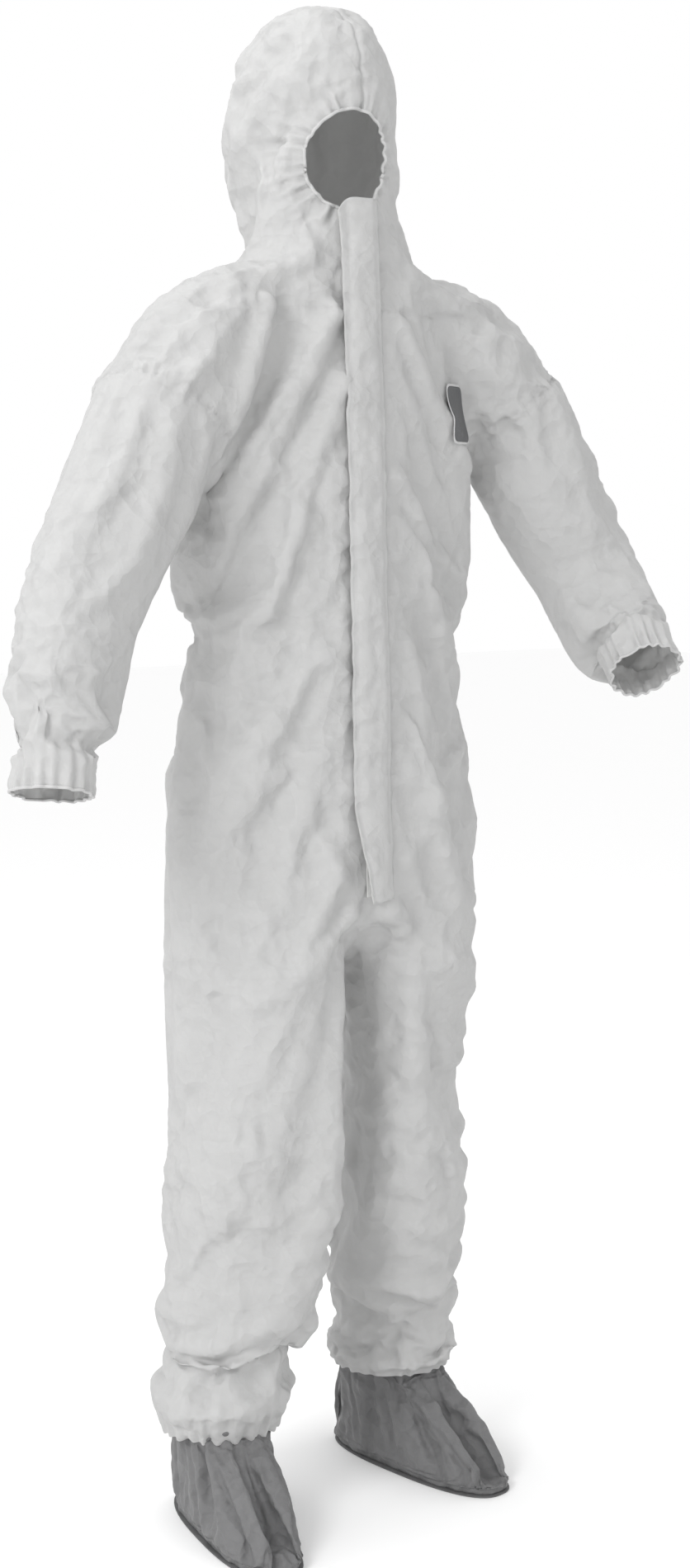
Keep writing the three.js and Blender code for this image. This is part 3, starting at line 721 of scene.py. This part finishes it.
def garment_mesh():
    cloth, _ = settings()
    cell = cloth.cell * 1
    whole = remeshed(suit_solid(0, "suit_tubes"), cell, "suit_cloth")
    bm = bmesh.new()
    bm.from_mesh(whole.data)
    for _ in range(6):
        bmesh.ops.smooth_vert(bm, verts=bm.verts, factor=0.5, use_axis_x=True, use_axis_y=True, use_axis_z=True)
    cut_openings(bm)
    cut_seams(bm)
    bmesh.ops.recalc_face_normals(bm, faces=bm.faces)
    layer = bm.faces.layers.int.new("region")
    for face in bm.faces:
        face[layer] = region_of(face.calc_center_median())
    bm.to_mesh(whole.data)
    bm.free()
    pins = whole.vertex_groups.new(name="held")
    for vert in whole.data.vertices:
        pins.add([vert.index], hold_at(vert.co), "REPLACE")
    lifts = [(vert.normal * fold_rise(vert.co)) for vert in whole.data.vertices]
    for vert, lift in zip(whole.data.vertices, lifts):
        vert.co += lift
    form = remeshed(suit_solid(0.022, "form_tubes"), 0.014, "form")
    settle(whole, form, "held", cloth.fullness, cloth.frames, 0.9)
    remove(form)
    return whole


def refine(bm, wanted):
    """Splits the cells whose corners are all wanted, so that small gathers have room."""
    verts = {v for v in bm.verts if wanted(v.co)}
    edges = [e for e in bm.edges if e.verts[0] in verts and e.verts[1] in verts]
    bmesh.ops.subdivide_edges(bm, edges=edges, cuts=1, use_grid_fill=True)


def pleat(turn, count, seed):
    """A wavy gather at an angle round an opening, uneven as cloth is; from -1 to 1."""
    uneven = 1.6 * noise.noise(Vector((math.cos(turn) * 2, math.sin(turn) * 2, seed)))
    size = 0.75 + 0.5 * noise.noise(Vector((math.cos(turn) * 5, math.sin(turn) * 5, seed + 7)))
    return size * math.sin(turn * count + uneven * 3)


def turn_round(point, centre, way):
    """How far along a direction a point lies, and its angle round it."""
    offset = point - centre
    along = offset.dot(way)
    first = way.orthogonal().normalized()
    return along, math.atan2(offset.dot(way.cross(first)), offset.dot(first))


def fade(distance, reach):
    return max(0.0, 1 - distance / reach) ** 2


def gathers_at(point):
    """How far the cloth stands out at a point from its gathered edges and seams."""
    rise = 0.0
    if point.y < 0 and point.z > 1.5:
        share = face_share(point)
        if 0.7 < share < 2.2:
            turn = math.atan2(point.z - FACE.z, point.x - FACE.x)
            near = fade(abs(share - 1.06), 0.85)
            rise += near * (0.0034 * pleat(turn, 21, 1) + 0.0016 * pleat(turn, 43, 2))
    if point.z > 1.62:
        rise += 0.0022 * fade(abs(point.x - 0.001), 0.028) * pleat(math.atan2(point.z - 1.6, point.y), 38, 3)
        rise -= 0.0022 * fade(abs(point.x - 0.001), 0.006)
    if abs(point.z - NECK) < 0.03 and abs(point.x) < 0.2:
        turn = math.atan2(point.y, point.x)
        rise += 0.0014 * fade(abs(point.z - NECK), 0.03) * pleat(turn, 47, 4)
        rise -= 0.0018 * fade(abs(point.z - NECK), 0.006)
    if point.y > 0 and abs(point.z - WAIST) < 0.07 and abs(point.x) < 0.25:
        rise += 0.0042 * fade(abs(point.z - WAIST), 0.07) * pleat(math.atan2(point.y, point.x), 44, 5)
    for side, sign in SIDES.items():
        shoulder, elbow, cuff = ARMS[side]
        if point.x * sign > 0.17 and point.z > 0.8:
            if (point - shoulder).length < 0.14:
                along, turn = turn_round(point, shoulder, (elbow - shoulder).normalized())
                rise += 0.0026 * fade(abs(along), 0.03) * pleat(turn, 33, 6 + sign)
                rise -= 0.0022 * fade(abs(along), 0.006)
            if (point - cuff).length < 0.17:
                along, turn = turn_round(point, cuff, (cuff - elbow).normalized())
                rise += 0.0042 * fade(abs(along + 0.004), 0.085) * pleat(turn, 17, 9 + sign)
        if point.z < HEM + 0.1 and point.x * sign > 0:
            hem = LEGS[side][2]
            turn = math.atan2(point.y - hem.y, point.x - hem.x)
            rise += 0.0040 * fade(abs(point.z - HEM), 0.08) * pleat(turn, 23, 12 + sign)
    return rise


def facets(point, size):
    """Flat facets with sharp creases between them, as crumpled sheet keeps; about 0 to 1."""
    warped = point / size + noise.noise_vector(point / size * 0.45) * 0.9
    distances, _ = noise.voronoi(warped)
    return min(1.0, distances[1] - distances[0])


def detailed(source, name):
    """The settled skin, finer, with its gathers, seams and crumples."""
    skin = subdivided(source, name)
    bm = bmesh.new()
    bm.from_mesh(skin.data)

    def fine(point):
        if point.y < 0 and 0.9 < face_share(point) < 1.7 and point.z > 1.5:
            return True
        if point.z < HEM + 0.045 or (point.z > 1.64 and abs(point.x) < 0.016):
            return True
        side = "left" if point.x > 0 else "right"
        return (point - ARMS[side][2]).length < 0.075

    refine(bm, fine)
    bm.normal_update()
    moves = []
    for vert in bm.verts:
        creases = 0.0072 * (facets(vert.co, 0.066) - 0.35) + 0.0030 * (facets(vert.co, 0.028) - 0.35)
        ease = 0.35 + 0.9 * smooth_step(-0.25, 0.35, noise.noise(vert.co * 5.5))
        folds = 0.5 * fold_rise(vert.co)
        moves.append(vert.normal * (creases * ease + folds + gathers_at(vert.co)))
    for vert, move in zip(bm.verts, moves):
        vert.co += move
    bm.to_mesh(skin.data)
    bm.free()
    return skin


def subdivided(source, name, levels=1):
    modifier = source.modifiers.new("Subdivision", "SUBSURF")
    modifier.levels = modifier.render_levels = levels
    made = evaluated_copy(source, name)
    remove(source)
    return made


PIECES = (
    (FRONT_RIGHT, "front_panel_right_cloth", ("front_panel_right",), (0.31, 0.80)),
    (FRONT_LEFT, "front_panel_left_cloth", ("front_panel_left",), (0.31, 0.80)),
    (BACK, "back_panel_cloth", ("back_panel",), (0.64, 0.80)),
    (HOOD_RIGHT, "hood_right_cloth", ("hood_panel_right",), (0.33, 0.42)),
    (HOOD_LEFT, "hood_left_cloth", ("hood_panel_left",), (0.33, 0.42)),
)


def thin_shell(whole, region, name, wall):
    """One piece cut out of the whole cloth, with an inner face and a thin edge, shaded as part of the whole."""
    mesh = whole.data
    normals = {v.index: v.normal.copy() for v in mesh.vertices}
    bm = bmesh.new()
    bm.from_mesh(mesh)
    layer = bm.faces.layers.int["region"]
    tag = bm.verts.layers.int.new("source")
    for vert in bm.verts:
        vert[tag] = vert.index
    bmesh.ops.delete(bm, geom=[f for f in bm.faces if f[layer] != region], context="FACES")
    outer = bm.faces[:]
    copied = bmesh.ops.duplicate(bm, geom=bm.faces[:] + bm.edges[:] + bm.verts[:])
    inner = [g for g in copied["geom"] if isinstance(g, bmesh.types.BMFace)]
    inner_verts = [g for g in copied["geom"] if isinstance(g, bmesh.types.BMVert)]
    for vert in inner_verts:
        vert.co -= normals[vert[tag]] * wall
    bmesh.ops.reverse_faces(bm, faces=inner)
    edges = [e for e in bm.edges if e.is_boundary]
    pairs = {}
    for edge in edges:
        pairs.setdefault(tuple(sorted(v[tag] for v in edge.verts)), []).append(edge)
    inner_set = set(inner_verts)
    for twins in pairs.values():
        if len(twins) != 2:
            continue
        top = next((e for e in twins if e.verts[0] not in inner_set), None)
        low = next((e for e in twins if e.verts[0] in inner_set), None)
        if not top or not low:
            continue
        loop = top.link_loops[0]
        a, b = loop.vert, loop.link_loop_next.vert
        match = {v[tag]: v for v in low.verts}
        face = bm.faces.new((b, a, match[a[tag]], match[b[tag]]))
        face[layer] = -1
    bm.verts.index_update()
    signs = [-1 if v in inner_set else 1 for v in bm.verts]
    sources = [v[tag] for v in bm.verts]
    for face in bm.faces:
        face.smooth = True
    made = object_from(bm, name)
    made.data.normals_split_custom_set_from_vertices(
        [normals[index] * sign for index, sign in zip(sources, signs)]
    )
    return made


class COVERALL_OT_cloth(bpy.types.Operator):
    """Makes the suit's cloth as one skin, lets it settle, and cuts it into its pieces"""

    bl_idname = "coverall.cloth"
    bl_label = "Cloth"

    def execute(self, context):
        cloth, _ = settings()
        whole = detailed(garment_mesh(), "suit_skin")
        for region, name, nodes, flat in PIECES:
            piece = thin_shell(whole, region, name, cloth.wall)
            body = None if region in (HOOD_RIGHT, HOOD_LEFT) else "body"
            dress(piece, "sheet", body, nodes)
            if body is None:
                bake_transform(piece)
        for offset, (side, sign) in enumerate(SIDES.items()):
            piece = thin_shell(whole, SLEEVE_UPPER + offset, "sleeve_upper_cloth_" + side, cloth.wall)
            dress(piece, "sheet", None, ["sleeve_upper_" + side])
            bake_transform(piece)
            piece = thin_shell(whole, SLEEVE_LOWER + offset, "sleeve_lower_cloth_" + side, cloth.wall)
            dress(piece, "sheet", None, ["sleeve_lower_" + side])
            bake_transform(piece)
            piece = thin_shell(whole, LEG_UPPER + offset, "leg_upper_cloth_" + side, cloth.wall)
            dress(piece, "sheet", None, ["leg_upper_" + side])
            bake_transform(piece)
            piece = thin_shell(whole, LEG_LOWER + offset, "leg_lower_cloth_" + side, cloth.wall)
            dress(piece, "sheet", None, ["leg_lower_" + side])
            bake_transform(piece)
        context.scene["skin"] = whole.name
        return {"FINISHED"}


# ---- boots ----

BOOT_RINGS = (  # height, half width, toe end and heel end about the ankle
    (0.0015, 0.050, -0.198, 0.088),
    (0.008, 0.059, -0.209, 0.098),
    (0.024, 0.064, -0.214, 0.104),
    (0.044, 0.064, -0.206, 0.105),
    (0.062, 0.063, -0.184, 0.102),
    (0.082, 0.063, -0.148, 0.095),
    (0.102, 0.064, -0.108, 0.086),
    (0.120, 0.064, -0.080, 0.074),
    (0.134, 0.062, -0.066, 0.066),
    (0.144, 0.062, -0.064, 0.064),
)
TOE_OUT = {"right": -13, "left": 5}  # degrees round from straight ahead


def squared(share, power):
    return math.copysign(abs(share) ** power, share)


def boot_solid(name, shrink, segments):
    bm = bmesh.new()
    rings = []
    for height, wide, toe, heel in BOOT_RINGS:
        rings.append((Vector((0, (toe + heel) / 2, height)), UP, wide - shrink, (heel - toe) / 2 - shrink))
    ring_tube(bm, rings, segments)
    for vert in bm.verts:
        _, wide, toe, heel = min(BOOT_RINGS, key=lambda ring: abs(ring[0] - vert.co.z))
        middle, deep = (toe + heel) / 2, (heel - toe) / 2 - shrink
        vert.co.x = squared(vert.co.x / (wide - shrink), 0.78) * (wide - shrink)
        vert.co.y = middle + squared((vert.co.y - middle) / deep, 0.78) * deep
    return object_from(bm, name)


class COVERALL_OT_boots(bpy.types.Operator):
    """Makes the grey boots, crumpled over the feet and gathered under the legs' hems, and their soles"""

    bl_idname = "coverall.boots"
    bl_label = "Boots"

    def execute(self, context):
        for side, sign in SIDES.items():
            hem = LEGS[side][2]
            turn = Matrix.Rotation(math.radians(TOE_OUT[side]), 4, "Z")
            place = Matrix.Translation((hem.x, hem.y, 0)) @ turn
            boot = remeshed(boot_solid("boot_tube", 0, 48), 0.006, "boot_cloth_" + side)
            self.shape(boot, sign)
            boot.data.transform(place)
            dress(boot, "boot", "shin_" + side, ["boot_upper_" + side, "ankle_elastic_" + side])
            self.sole(side, place)
        return {"FINISHED"}

    def sole(self, side, place):
        """A thin anti-slip sole, set in from the edge of the boot."""
        bm = bmesh.new()
        _, wide, toe, heel = BOOT_RINGS[0]
        shape = Matrix.Translation((0, (toe + heel) / 2, 0.0012)) @ Matrix.Diagonal((wide, (heel - toe) / 2, 1, 1))
        bmesh.ops.create_cone(bm, cap_ends=True, segments=56, radius1=1, radius2=1, depth=0.0022, matrix=shape)
        for vert in bm.verts:
            middle, deep = (toe + heel) / 2, (heel - toe) / 2
            vert.co.x = squared(vert.co.x / wide, 0.78) * wide
            vert.co.y = middle + squared((vert.co.y - middle) / deep, 0.78) * deep
        bmesh.ops.bevel(bm, geom=bm.edges[:], offset=0.0006, segments=2, affect="EDGES")
        sole = object_from(bm, "sole_" + side)
        sole.data.transform(place)
        dress(sole, "sole", "shin_" + side, ["boot_sole_" + side])

    def shape(self, boot, sign):
        bm = bmesh.new()
        bm.from_mesh(boot.data)
        for _ in range(3):
            bmesh.ops.smooth_vert(bm, verts=bm.verts, factor=0.5, use_axis_x=True, use_axis_y=True, use_axis_z=True)
        top = [f for f in bm.faces if f.calc_center_median().z > BOOT_RINGS[-1][0] - 0.006]
        bmesh.ops.delete(bm, geom=top, context="FACES")
        for vert in bm.verts:
            big = noise.noise(vert.co * 16 + Vector((sign * 5, 0, 0)))
            vert.co += vert.normal * (0.004 * big * smooth_step(0.004, 0.03, vert.co.z))
        bm.to_mesh(boot.data)
        bm.free()
        pins = boot.vertex_groups.new(name="held")
        for vert in boot.data.vertices:
            low = 1 - smooth_step(0.003, 0.018, vert.co.z)
            high = smooth_step(0.118, 0.13, vert.co.z)
            pins.add([vert.index], max(low, high), "REPLACE")
        form = boot_solid("foot", 0.006, 32)
        settle(boot, form, "held", 0.10, 18, 0.25)
        remove(form)
        bm = bmesh.new()
        bm.from_mesh(boot.data)
        bm.normal_update()
        moves = []
        for vert in bm.verts:
            turn = math.atan2(vert.co.y, vert.co.x)
            crease = 0.0052 * (facets(vert.co + Vector((sign, 0, 0)), 0.034) - 0.35)
            gather = 0.0036 * fade(abs(vert.co.z - 0.122), 0.06) * pleat(turn, 19, 20 + sign)
            free = smooth_step(0.003, 0.014, vert.co.z)
            moves.append(vert.normal * (crease + gather) * free)
        for vert, move in zip(bm.verts, moves):
            vert.co += move
            vert.co.z = max(vert.co.z, 0.0008)
        for face in bm.faces:
            face.smooth = True
        bm.to_mesh(boot.data)
        bm.free()
        smooth = boot.modifiers.new("Subdivision", "SUBSURF")
        smooth.levels = smooth.render_levels = 1


# ---- elastic edges ----


def loop_tube(name, places, radius, closed=True):
    """A thin tube through places, with eight sides."""
    bm = bmesh.new()
    rows = []
    count = len(places)
    for k, place in enumerate(places):
        before = places[k - 1] if closed or k else place
        after = places[(k + 1) % count] if closed or k + 1 < count else place
        way = (after - before).normalized()
        side = way.cross(Vector((0.13, 0.21, 0.97))).normalized()
        over = side.cross(way)
        ring = []
        for step in range(8):
            turn = math.tau * step / 8
            ring.append(bm.verts.new(place + (side * math.cos(turn) + over * math.sin(turn)) * radius))
        rows.append(ring)
    pairs = list(zip(rows, rows[1:])) + ([(rows[-1], rows[0])] if closed else [])
    for low, high in pairs:
        for k in range(8):
            bm.faces.new((low[k], low[(k + 1) % 8], high[(k + 1) % 8], high[k]))
    bmesh.ops.recalc_face_normals(bm, faces=bm.faces)
    for face in bm.faces:
        face.smooth = True
    return object_from(bm, name)


class COVERALL_OT_elastic(bpy.types.Operator):
    """Makes the elastic edges of the face opening, the cuffs and the back of the waist"""

    bl_idname = "coverall.elastic"
    bl_label = "Elastic edges"

    def execute(self, context):
        skin = bpy.data.objects[context.scene["skin"]]
        tree = skin_tree(skin)
        edges = edge_places(skin)
        face = [p for p in edges if p.z > 1.5 and p.y < 0 and 0.6 < face_share(p) < 1.5 and p.z > FACE.z - 0.07]
        ring = self.ordered(face, FACE, Vector((0, 1, 0)), 150)
        dress(loop_tube("face_edge", ring, 0.0021), "elastic", "hood", ["face_elastic"])
        for side, sign in SIDES.items():
            _, elbow, cuff = ARMS[side]
            near = [p for p in edges if (p - cuff).length < 0.1]
            ring = self.ordered(near, cuff, (cuff - elbow).normalized(), 110)
            piece = loop_tube("cuff_edge_" + side, ring, 0.0018)
            dress(piece, "elastic", "forearm_" + side, ["cuff_elastic_" + side])
        places = []
        for step in range(61):
            turn = math.radians(14 + 152 * step / 60)
            way = Vector((math.cos(turn), math.sin(turn), 0))
            start = Vector((0.012, 0, WAIST)) + way * 0.5
            hit, _, _, _ = tree.ray_cast(start, -way)
            places.append(hit - way * 0.0035)
        piece = loop_tube("waist_gather", places, 0.0022, closed=False)
        dress(piece, "elastic", "body", ["waist_elastic"])
        return {"FINISHED"}

    def ordered(self, places, centre, axis, steps):
        """Evenly turned places round an opening's edge."""
        first = axis.orthogonal().normalized()
        second = axis.cross(first)
        turns = sorted(
            ((math.atan2((p - centre).dot(second), (p - centre).dot(first)), p) for p in places),
            key=lambda pair: pair[0],
        )
        ring = []
        for step in range(steps):
            wanted = -math.pi + math.tau * step / steps
            near = [
                (p, 1 - abs((turn - wanted + math.pi) % math.tau - math.pi) / 0.09)
                for turn, p in turns
                if abs((turn - wanted + math.pi) % math.tau - math.pi) < 0.09
            ]
            if not near:
                continue
            total = sum(weight for _, weight in near)
            ring.append(sum((p * weight for p, weight in near), Vector()) / total)
        return ring


def skin_tree(skin):
    return BVHTree.FromPolygons(
        [v.co.copy() for v in skin.data.vertices], [tuple(p.vertices) for p in skin.data.polygons]
    )


def edge_places(skin):
    """Every place on the free edges of the cloth."""
    bm = bmesh.new()
    bm.from_mesh(skin.data)
    places = [v.co.copy() for v in bm.verts if v.is_boundary]
    bm.free()
    return places


# ---- storm flap, zip and patch ----


class COVERALL_OT_flap(bpy.types.Operator):
    """Makes the storm flap that lies over the zip, stitched down on the wearer's left"""

    bl_idname = "coverall.flap"
    bl_label = "Storm flap"

    def execute(self, context):
        low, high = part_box("storm_flap")
        bottom, top = low.z + 0.002, high.z + 0.011
        free, fixed = low.x - 0.003, high.x - 0.001
        length = top - bottom
        rests = self.rests(skin_tree(bpy.data.objects[context.scene["skin"]]), bottom, length, free, fixed)
        bm = bmesh.new()
        made = bmesh.ops.create_grid(bm, x_segments=18, y_segments=230, size=0.5)
        for vert in made["verts"]:
            u, v = vert.co.x + 0.5, vert.co.y + 0.5
            height = bottom + length * v
            aside = -0.007 * smooth_step(0.72, 1.0, v)
            x = free + (fixed - free) * u + aside
            over_zip = max(0.0, 1 - abs(x / 0.024) ** 3)
            arch = 0.0062 * over_zip + 0.0004
            on_left, on_right = rests[min(len(rests) - 1, int(v * len(rests)))]
            bed = on_left + (on_right - on_left) * u - 0.0022
            wave = 0.0030 * max(0, noise.noise(Vector((u * 1.6, 0, height * 9))))
            wave += 0.0036 * facets(Vector((x, 3, height)), 0.040)
            wave += 0.0014 * facets(Vector((x, 7, height)), 0.018)
            edge = 0.0035 * (1 - u) ** 2 * max(0, noise.noise(Vector((0, 9, height * 9))))
            curl = 0.021 * (1 - smooth_step(0.0, 0.14, v)) * (1 - u) ** 1.4
            x += 0.004 * noise.noise(Vector((3, 0, height * 7))) * (1 - u) + 0.4 * curl
            stitch = 0.0016 * fade(abs(u - 0.9), 0.08)
            rounding = 0.016 * fade(u, 0.36) * smooth_step(0.96, 1.0, v)
            surface = min(zip_y(height) - arch, bed)
            vert.co = Vector((x, surface - wave - edge - curl + stitch, height - rounding))
        flap = object_from(bm, "storm_flap_cloth")
        for polygon in flap.data.polygons:
            polygon.use_smooth = True
        solid = flap.modifiers.new("Solidify", "SOLIDIFY")
        solid.thickness = 0.0012
        solid.offset = 0
        dress(flap, "sheet", "flap", ["storm_flap"])
        self.slider()
        finishes = {
            "tape": ("zip_tape_right", "zip_tape_left"),
            "plastic": ("zip_chain", "zip_top_stop", "zip_bottom_stop"),
        }
        for kind, nodes in finishes.items():
            for node in nodes:
                frame["nodes"][node].data.materials.clear()
                frame["nodes"][node].data.materials.append(material(kind))
        return {"FINISHED"}

    def rests(self, tree, bottom, length, free, fixed):
        """How far forward the cloth beside the zip is, to the right and left, evened out along the flap."""
        count = 120
        found = []
        for step in range(count):
            height = bottom + length * (step + 0.5) / count
            pair = []
            for x in (free, fixed):
                place, _, _, _ = tree.ray_cast(Vector((x, -0.5, min(height, 1.535))), Vector((0, 1, 0)))
                pair.append(place.y if place else zip_y(height))
            found.append(pair)
        evened = []
        for step in range(count):
            near = found[max(0, step - 4) : step + 5]
            evened.append([sum(pair[side] for pair in near) / len(near) for side in (0, 1)])
        return evened

    def slider(self):
        """A thin slider and its flat pull, on the coil near the top of the zip."""
        low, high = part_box("zip_slider")
        upward = -SLIDE_WAY
        place = Matrix.Translation((0, zip_y(high.z), high.z)) @ Matrix.Rotation(-math.asin(upward.y), 4, "X").inverted()
        body = self.boxes("slider", ((0.011, 0.0022, 0.015, -0.0027, -0.0075), (0.0024, 0.0016, 0.010, -0.0044, -0.008)))
        pull = self.boxes("pull", ((0.006, 0.0008, 0.024, -0.0050, -0.0194),))
        for piece, moving, node in ((body, "slider", "zip_slider"), (pull, "pull", "zip_pull")):
            piece.data.transform(place)
            dress(piece, "plastic", moving, [node])

    def boxes(self, name, sizes):
        """Bevelled boxes, each as width, depth, length, and its middle's place forward and up."""
        bm = bmesh.new()
        for wide, deep, long, forward, up in sizes:
            middle = Matrix.Translation((0, forward, up)) @ Matrix.Diagonal((wide, deep, long, 1))
            made = bmesh.ops.create_cube(bm, size=1, matrix=middle)
            edges = list({e for v in made["verts"] for e in v.link_edges})
            bmesh.ops.bevel(bm, geom=edges, offset=0.0003, segments=2, affect="EDGES")
        return object_from(bm, name)


PATCH_SHIFT = Vector((0.028, 0, 0.004))  # of the patch on the cloth, from its place in the frame
PATCH_INWARD = Vector((-0.35, 0.937, 0)).normalized()
PATCH_ACROSS, PATCH_UP = 14, 22


class COVERALL_OT_patch(bpy.types.Operator):
    """Makes the plain patch with rounded corners and its pale rim, laid taut over the chest's cloth"""

    bl_idname = "coverall.patch"
    bl_label = "Chest patch"

    def execute(self, context):
        low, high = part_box("chest_patch")
        wide, tall = (high.x - low.x) / 2, (high.z - low.z) / 2
        tree = skin_tree(bpy.data.objects[context.scene["skin"]])
        starts, depths = self.laid_taut(tree, wide, tall)
        for name, kind, share, lift in (("patch_rim", "rim", 1.0, 0.0022), ("patch_face", "patch", 0.92, 0.0030)):
            bm = bmesh.new()
            middle = starts[PATCH_UP // 2][PATCH_ACROSS // 2]
            rows = []
            for row_starts, row_depths in zip(starts, depths):
                row = []
                for start, depth in zip(row_starts, row_depths):
                    place = middle + (start - middle) * share
                    row.append(bm.verts.new(place + PATCH_INWARD * (depth - lift)))
                rows.append(row)
            for below, above in zip(rows, rows[1:]):
                for k in range(PATCH_ACROSS):
                    bm.faces.new((below[k], below[k + 1], above[k + 1], above[k]))
            piece = object_from(bm, name)
            for polygon in piece.data.polygons:
                polygon.use_smooth = True
            solid = piece.modifiers.new("Solidify", "SOLIDIFY")
            solid.thickness = 0.0006
            solid.offset = 0
            dress(piece, kind, "body", ["chest_patch"])
        return {"FINISHED"}

    def laid_taut(self, tree, wide, tall):
        """Where each point of the patch starts in front of the cloth, and how far in it comes to rest."""
        middle = box_middle("chest_patch") + PATCH_SHIFT - PATCH_INWARD * 0.2
        aside = PATCH_INWARD.cross(UP) * -1
        if aside.x < 0:
            aside = -aside
        starts, cloth_depths = [], []
        for j in range(PATCH_UP + 1):
            starts.append([])
            cloth_depths.append([])
            for i in range(PATCH_ACROSS + 1):
                a, b = 2 * i / PATCH_ACROSS - 1, 2 * j / PATCH_UP - 1
                rounded = max(abs(a), abs(b), 1e-6) / max((abs(a) ** 7 + abs(b) ** 7) ** (1 / 7), 1e-6)
                start = middle + aside * (a * rounded * wide) + UP * (b * rounded * tall)
                _, _, _, depth = tree.ray_cast(start, PATCH_INWARD)
                starts[-1].append(start)
                cloth_depths[-1].append(depth)
        depths = [row[:] for row in cloth_depths]
        for _ in range(40):
            for j, row in enumerate(depths):
                for i in range(len(row)):
                    near = [depths[n][i] for n in (j - 1, j + 1) if 0 <= n <= PATCH_UP]
                    near += [row[n] for n in (i - 1, i + 1) if 0 <= n <= PATCH_ACROSS]
                    row[i] = min(cloth_depths[j][i], sum(near) / len(near))
        return starts, depths


# ---- stage ----

CAMERA_TURN = -38  # degrees round from straight in front
CAMERA_AWAY = 2.85
CAMERA_HEIGHT = 1.20
AIM_HEIGHT = 0.882
AIM_ASIDE = 0.041
LENS = 54.4


class COVERALL_OT_stage(bpy.types.Operator):
    """Sets the floor, the lights and the camera"""

    bl_idname = "coverall.stage"
    bl_label = "Stage"

    def execute(self, context):
        scene = context.scene
        scene.view_settings.view_transform = "Standard"
        world = bpy.data.worlds.new("studio")
        world.use_nodes = True
        world.node_tree.nodes["Background"].inputs["Color"].default_value = (1, 1, 1, 1)
        world.node_tree.nodes["Background"].inputs["Strength"].default_value = 1.0
        scene.world = world
        bm = bmesh.new()
        bmesh.ops.create_grid(bm, x_segments=1, y_segments=1, size=14)
        floor = object_from(bm, "floor")
        pale = Nodes("pale_floor")
        pale.shader.inputs["Base Color"].default_value = (0.97, 0.97, 0.97, 1)
        floor.data.materials.append(pale.finish(Roughness=0.9))
        turn = math.radians(CAMERA_TURN)
        right = Vector((math.cos(turn), math.sin(turn), 0))
        aim = right * AIM_ASIDE + UP * AIM_HEIGHT
        camera = bpy.data.cameras.new("camera")
        camera.lens = LENS
        holder = bpy.data.objects.new("camera", camera)
        scene.collection.objects.link(holder)
        back = Vector((math.sin(turn), -math.cos(turn), 0))
        holder.location = right * AIM_ASIDE + back * CAMERA_AWAY + UP * CAMERA_HEIGHT
        holder.rotation_euler = (aim - holder.location).to_track_quat("-Z", "Y").to_euler()
        scene.camera = holder
        self.lamp("key", (-3.0, -1.0, 2.6), 1.3, 50)
        self.lamp("top", (-0.6, 0.6, 3.4), 1.6, 16)
        return {"FINISHED"}

    def lamp(self, name, place, size, power):
        light = bpy.data.lights.new(name, "AREA")
        light.shape = "DISK"
        light.size = size
        light.energy = power
        holder = bpy.data.objects.new(name, light)
        holder.location = place
        holder.rotation_euler = (Vector((0, 0, 0.95)) - Vector(place)).to_track_quat("-Z", "Y").to_euler()
        bpy.context.scene.collection.objects.link(holder)


# ---- panel and registration ----


class COVERALL_PT_panel(bpy.types.Panel):
    """Shows the coverall's settings and the buttons that make its pieces"""

    bl_idname = "COVERALL_PT_panel"
    bl_label = "Coverall"
    bl_space_type = "VIEW_3D"
    bl_region_type = "UI"
    bl_category = "Coverall"

    def draw(self, context):
        for group in (context.scene.coverall_cloth, context.scene.coverall_looks):
            for key in group.__annotations__:
                self.layout.prop(group, key)
        for operator in OPERATORS:
            self.layout.operator(operator.bl_idname)


OPERATORS = (COVERALL_OT_stage, COVERALL_OT_cloth, COVERALL_OT_boots, COVERALL_OT_elastic, COVERALL_OT_flap, COVERALL_OT_patch)
CLASSES = (CoverallCloth, CoverallLooks, *OPERATORS, COVERALL_PT_panel)


def register():
    for each in CLASSES:
        bpy.utils.register_class(each)
    bpy.types.Scene.coverall_cloth = PointerProperty(type=CoverallCloth)
    bpy.types.Scene.coverall_looks = PointerProperty(type=CoverallLooks)


def unregister():
    del bpy.types.Scene.coverall_looks
    del bpy.types.Scene.coverall_cloth
    for each in reversed(CLASSES):
        bpy.utils.unregister_class(each)


def main():
    register()
    make_materials()
    bpy.ops.coverall.stage()
    bpy.ops.coverall.cloth()
    bpy.ops.coverall.boots()
    bpy.ops.coverall.elastic()
    bpy.ops.coverall.flap()
    bpy.ops.coverall.patch()
    remove(bpy.data.objects[bpy.context.scene["skin"]])


if __name__ == "__main__":
    main()
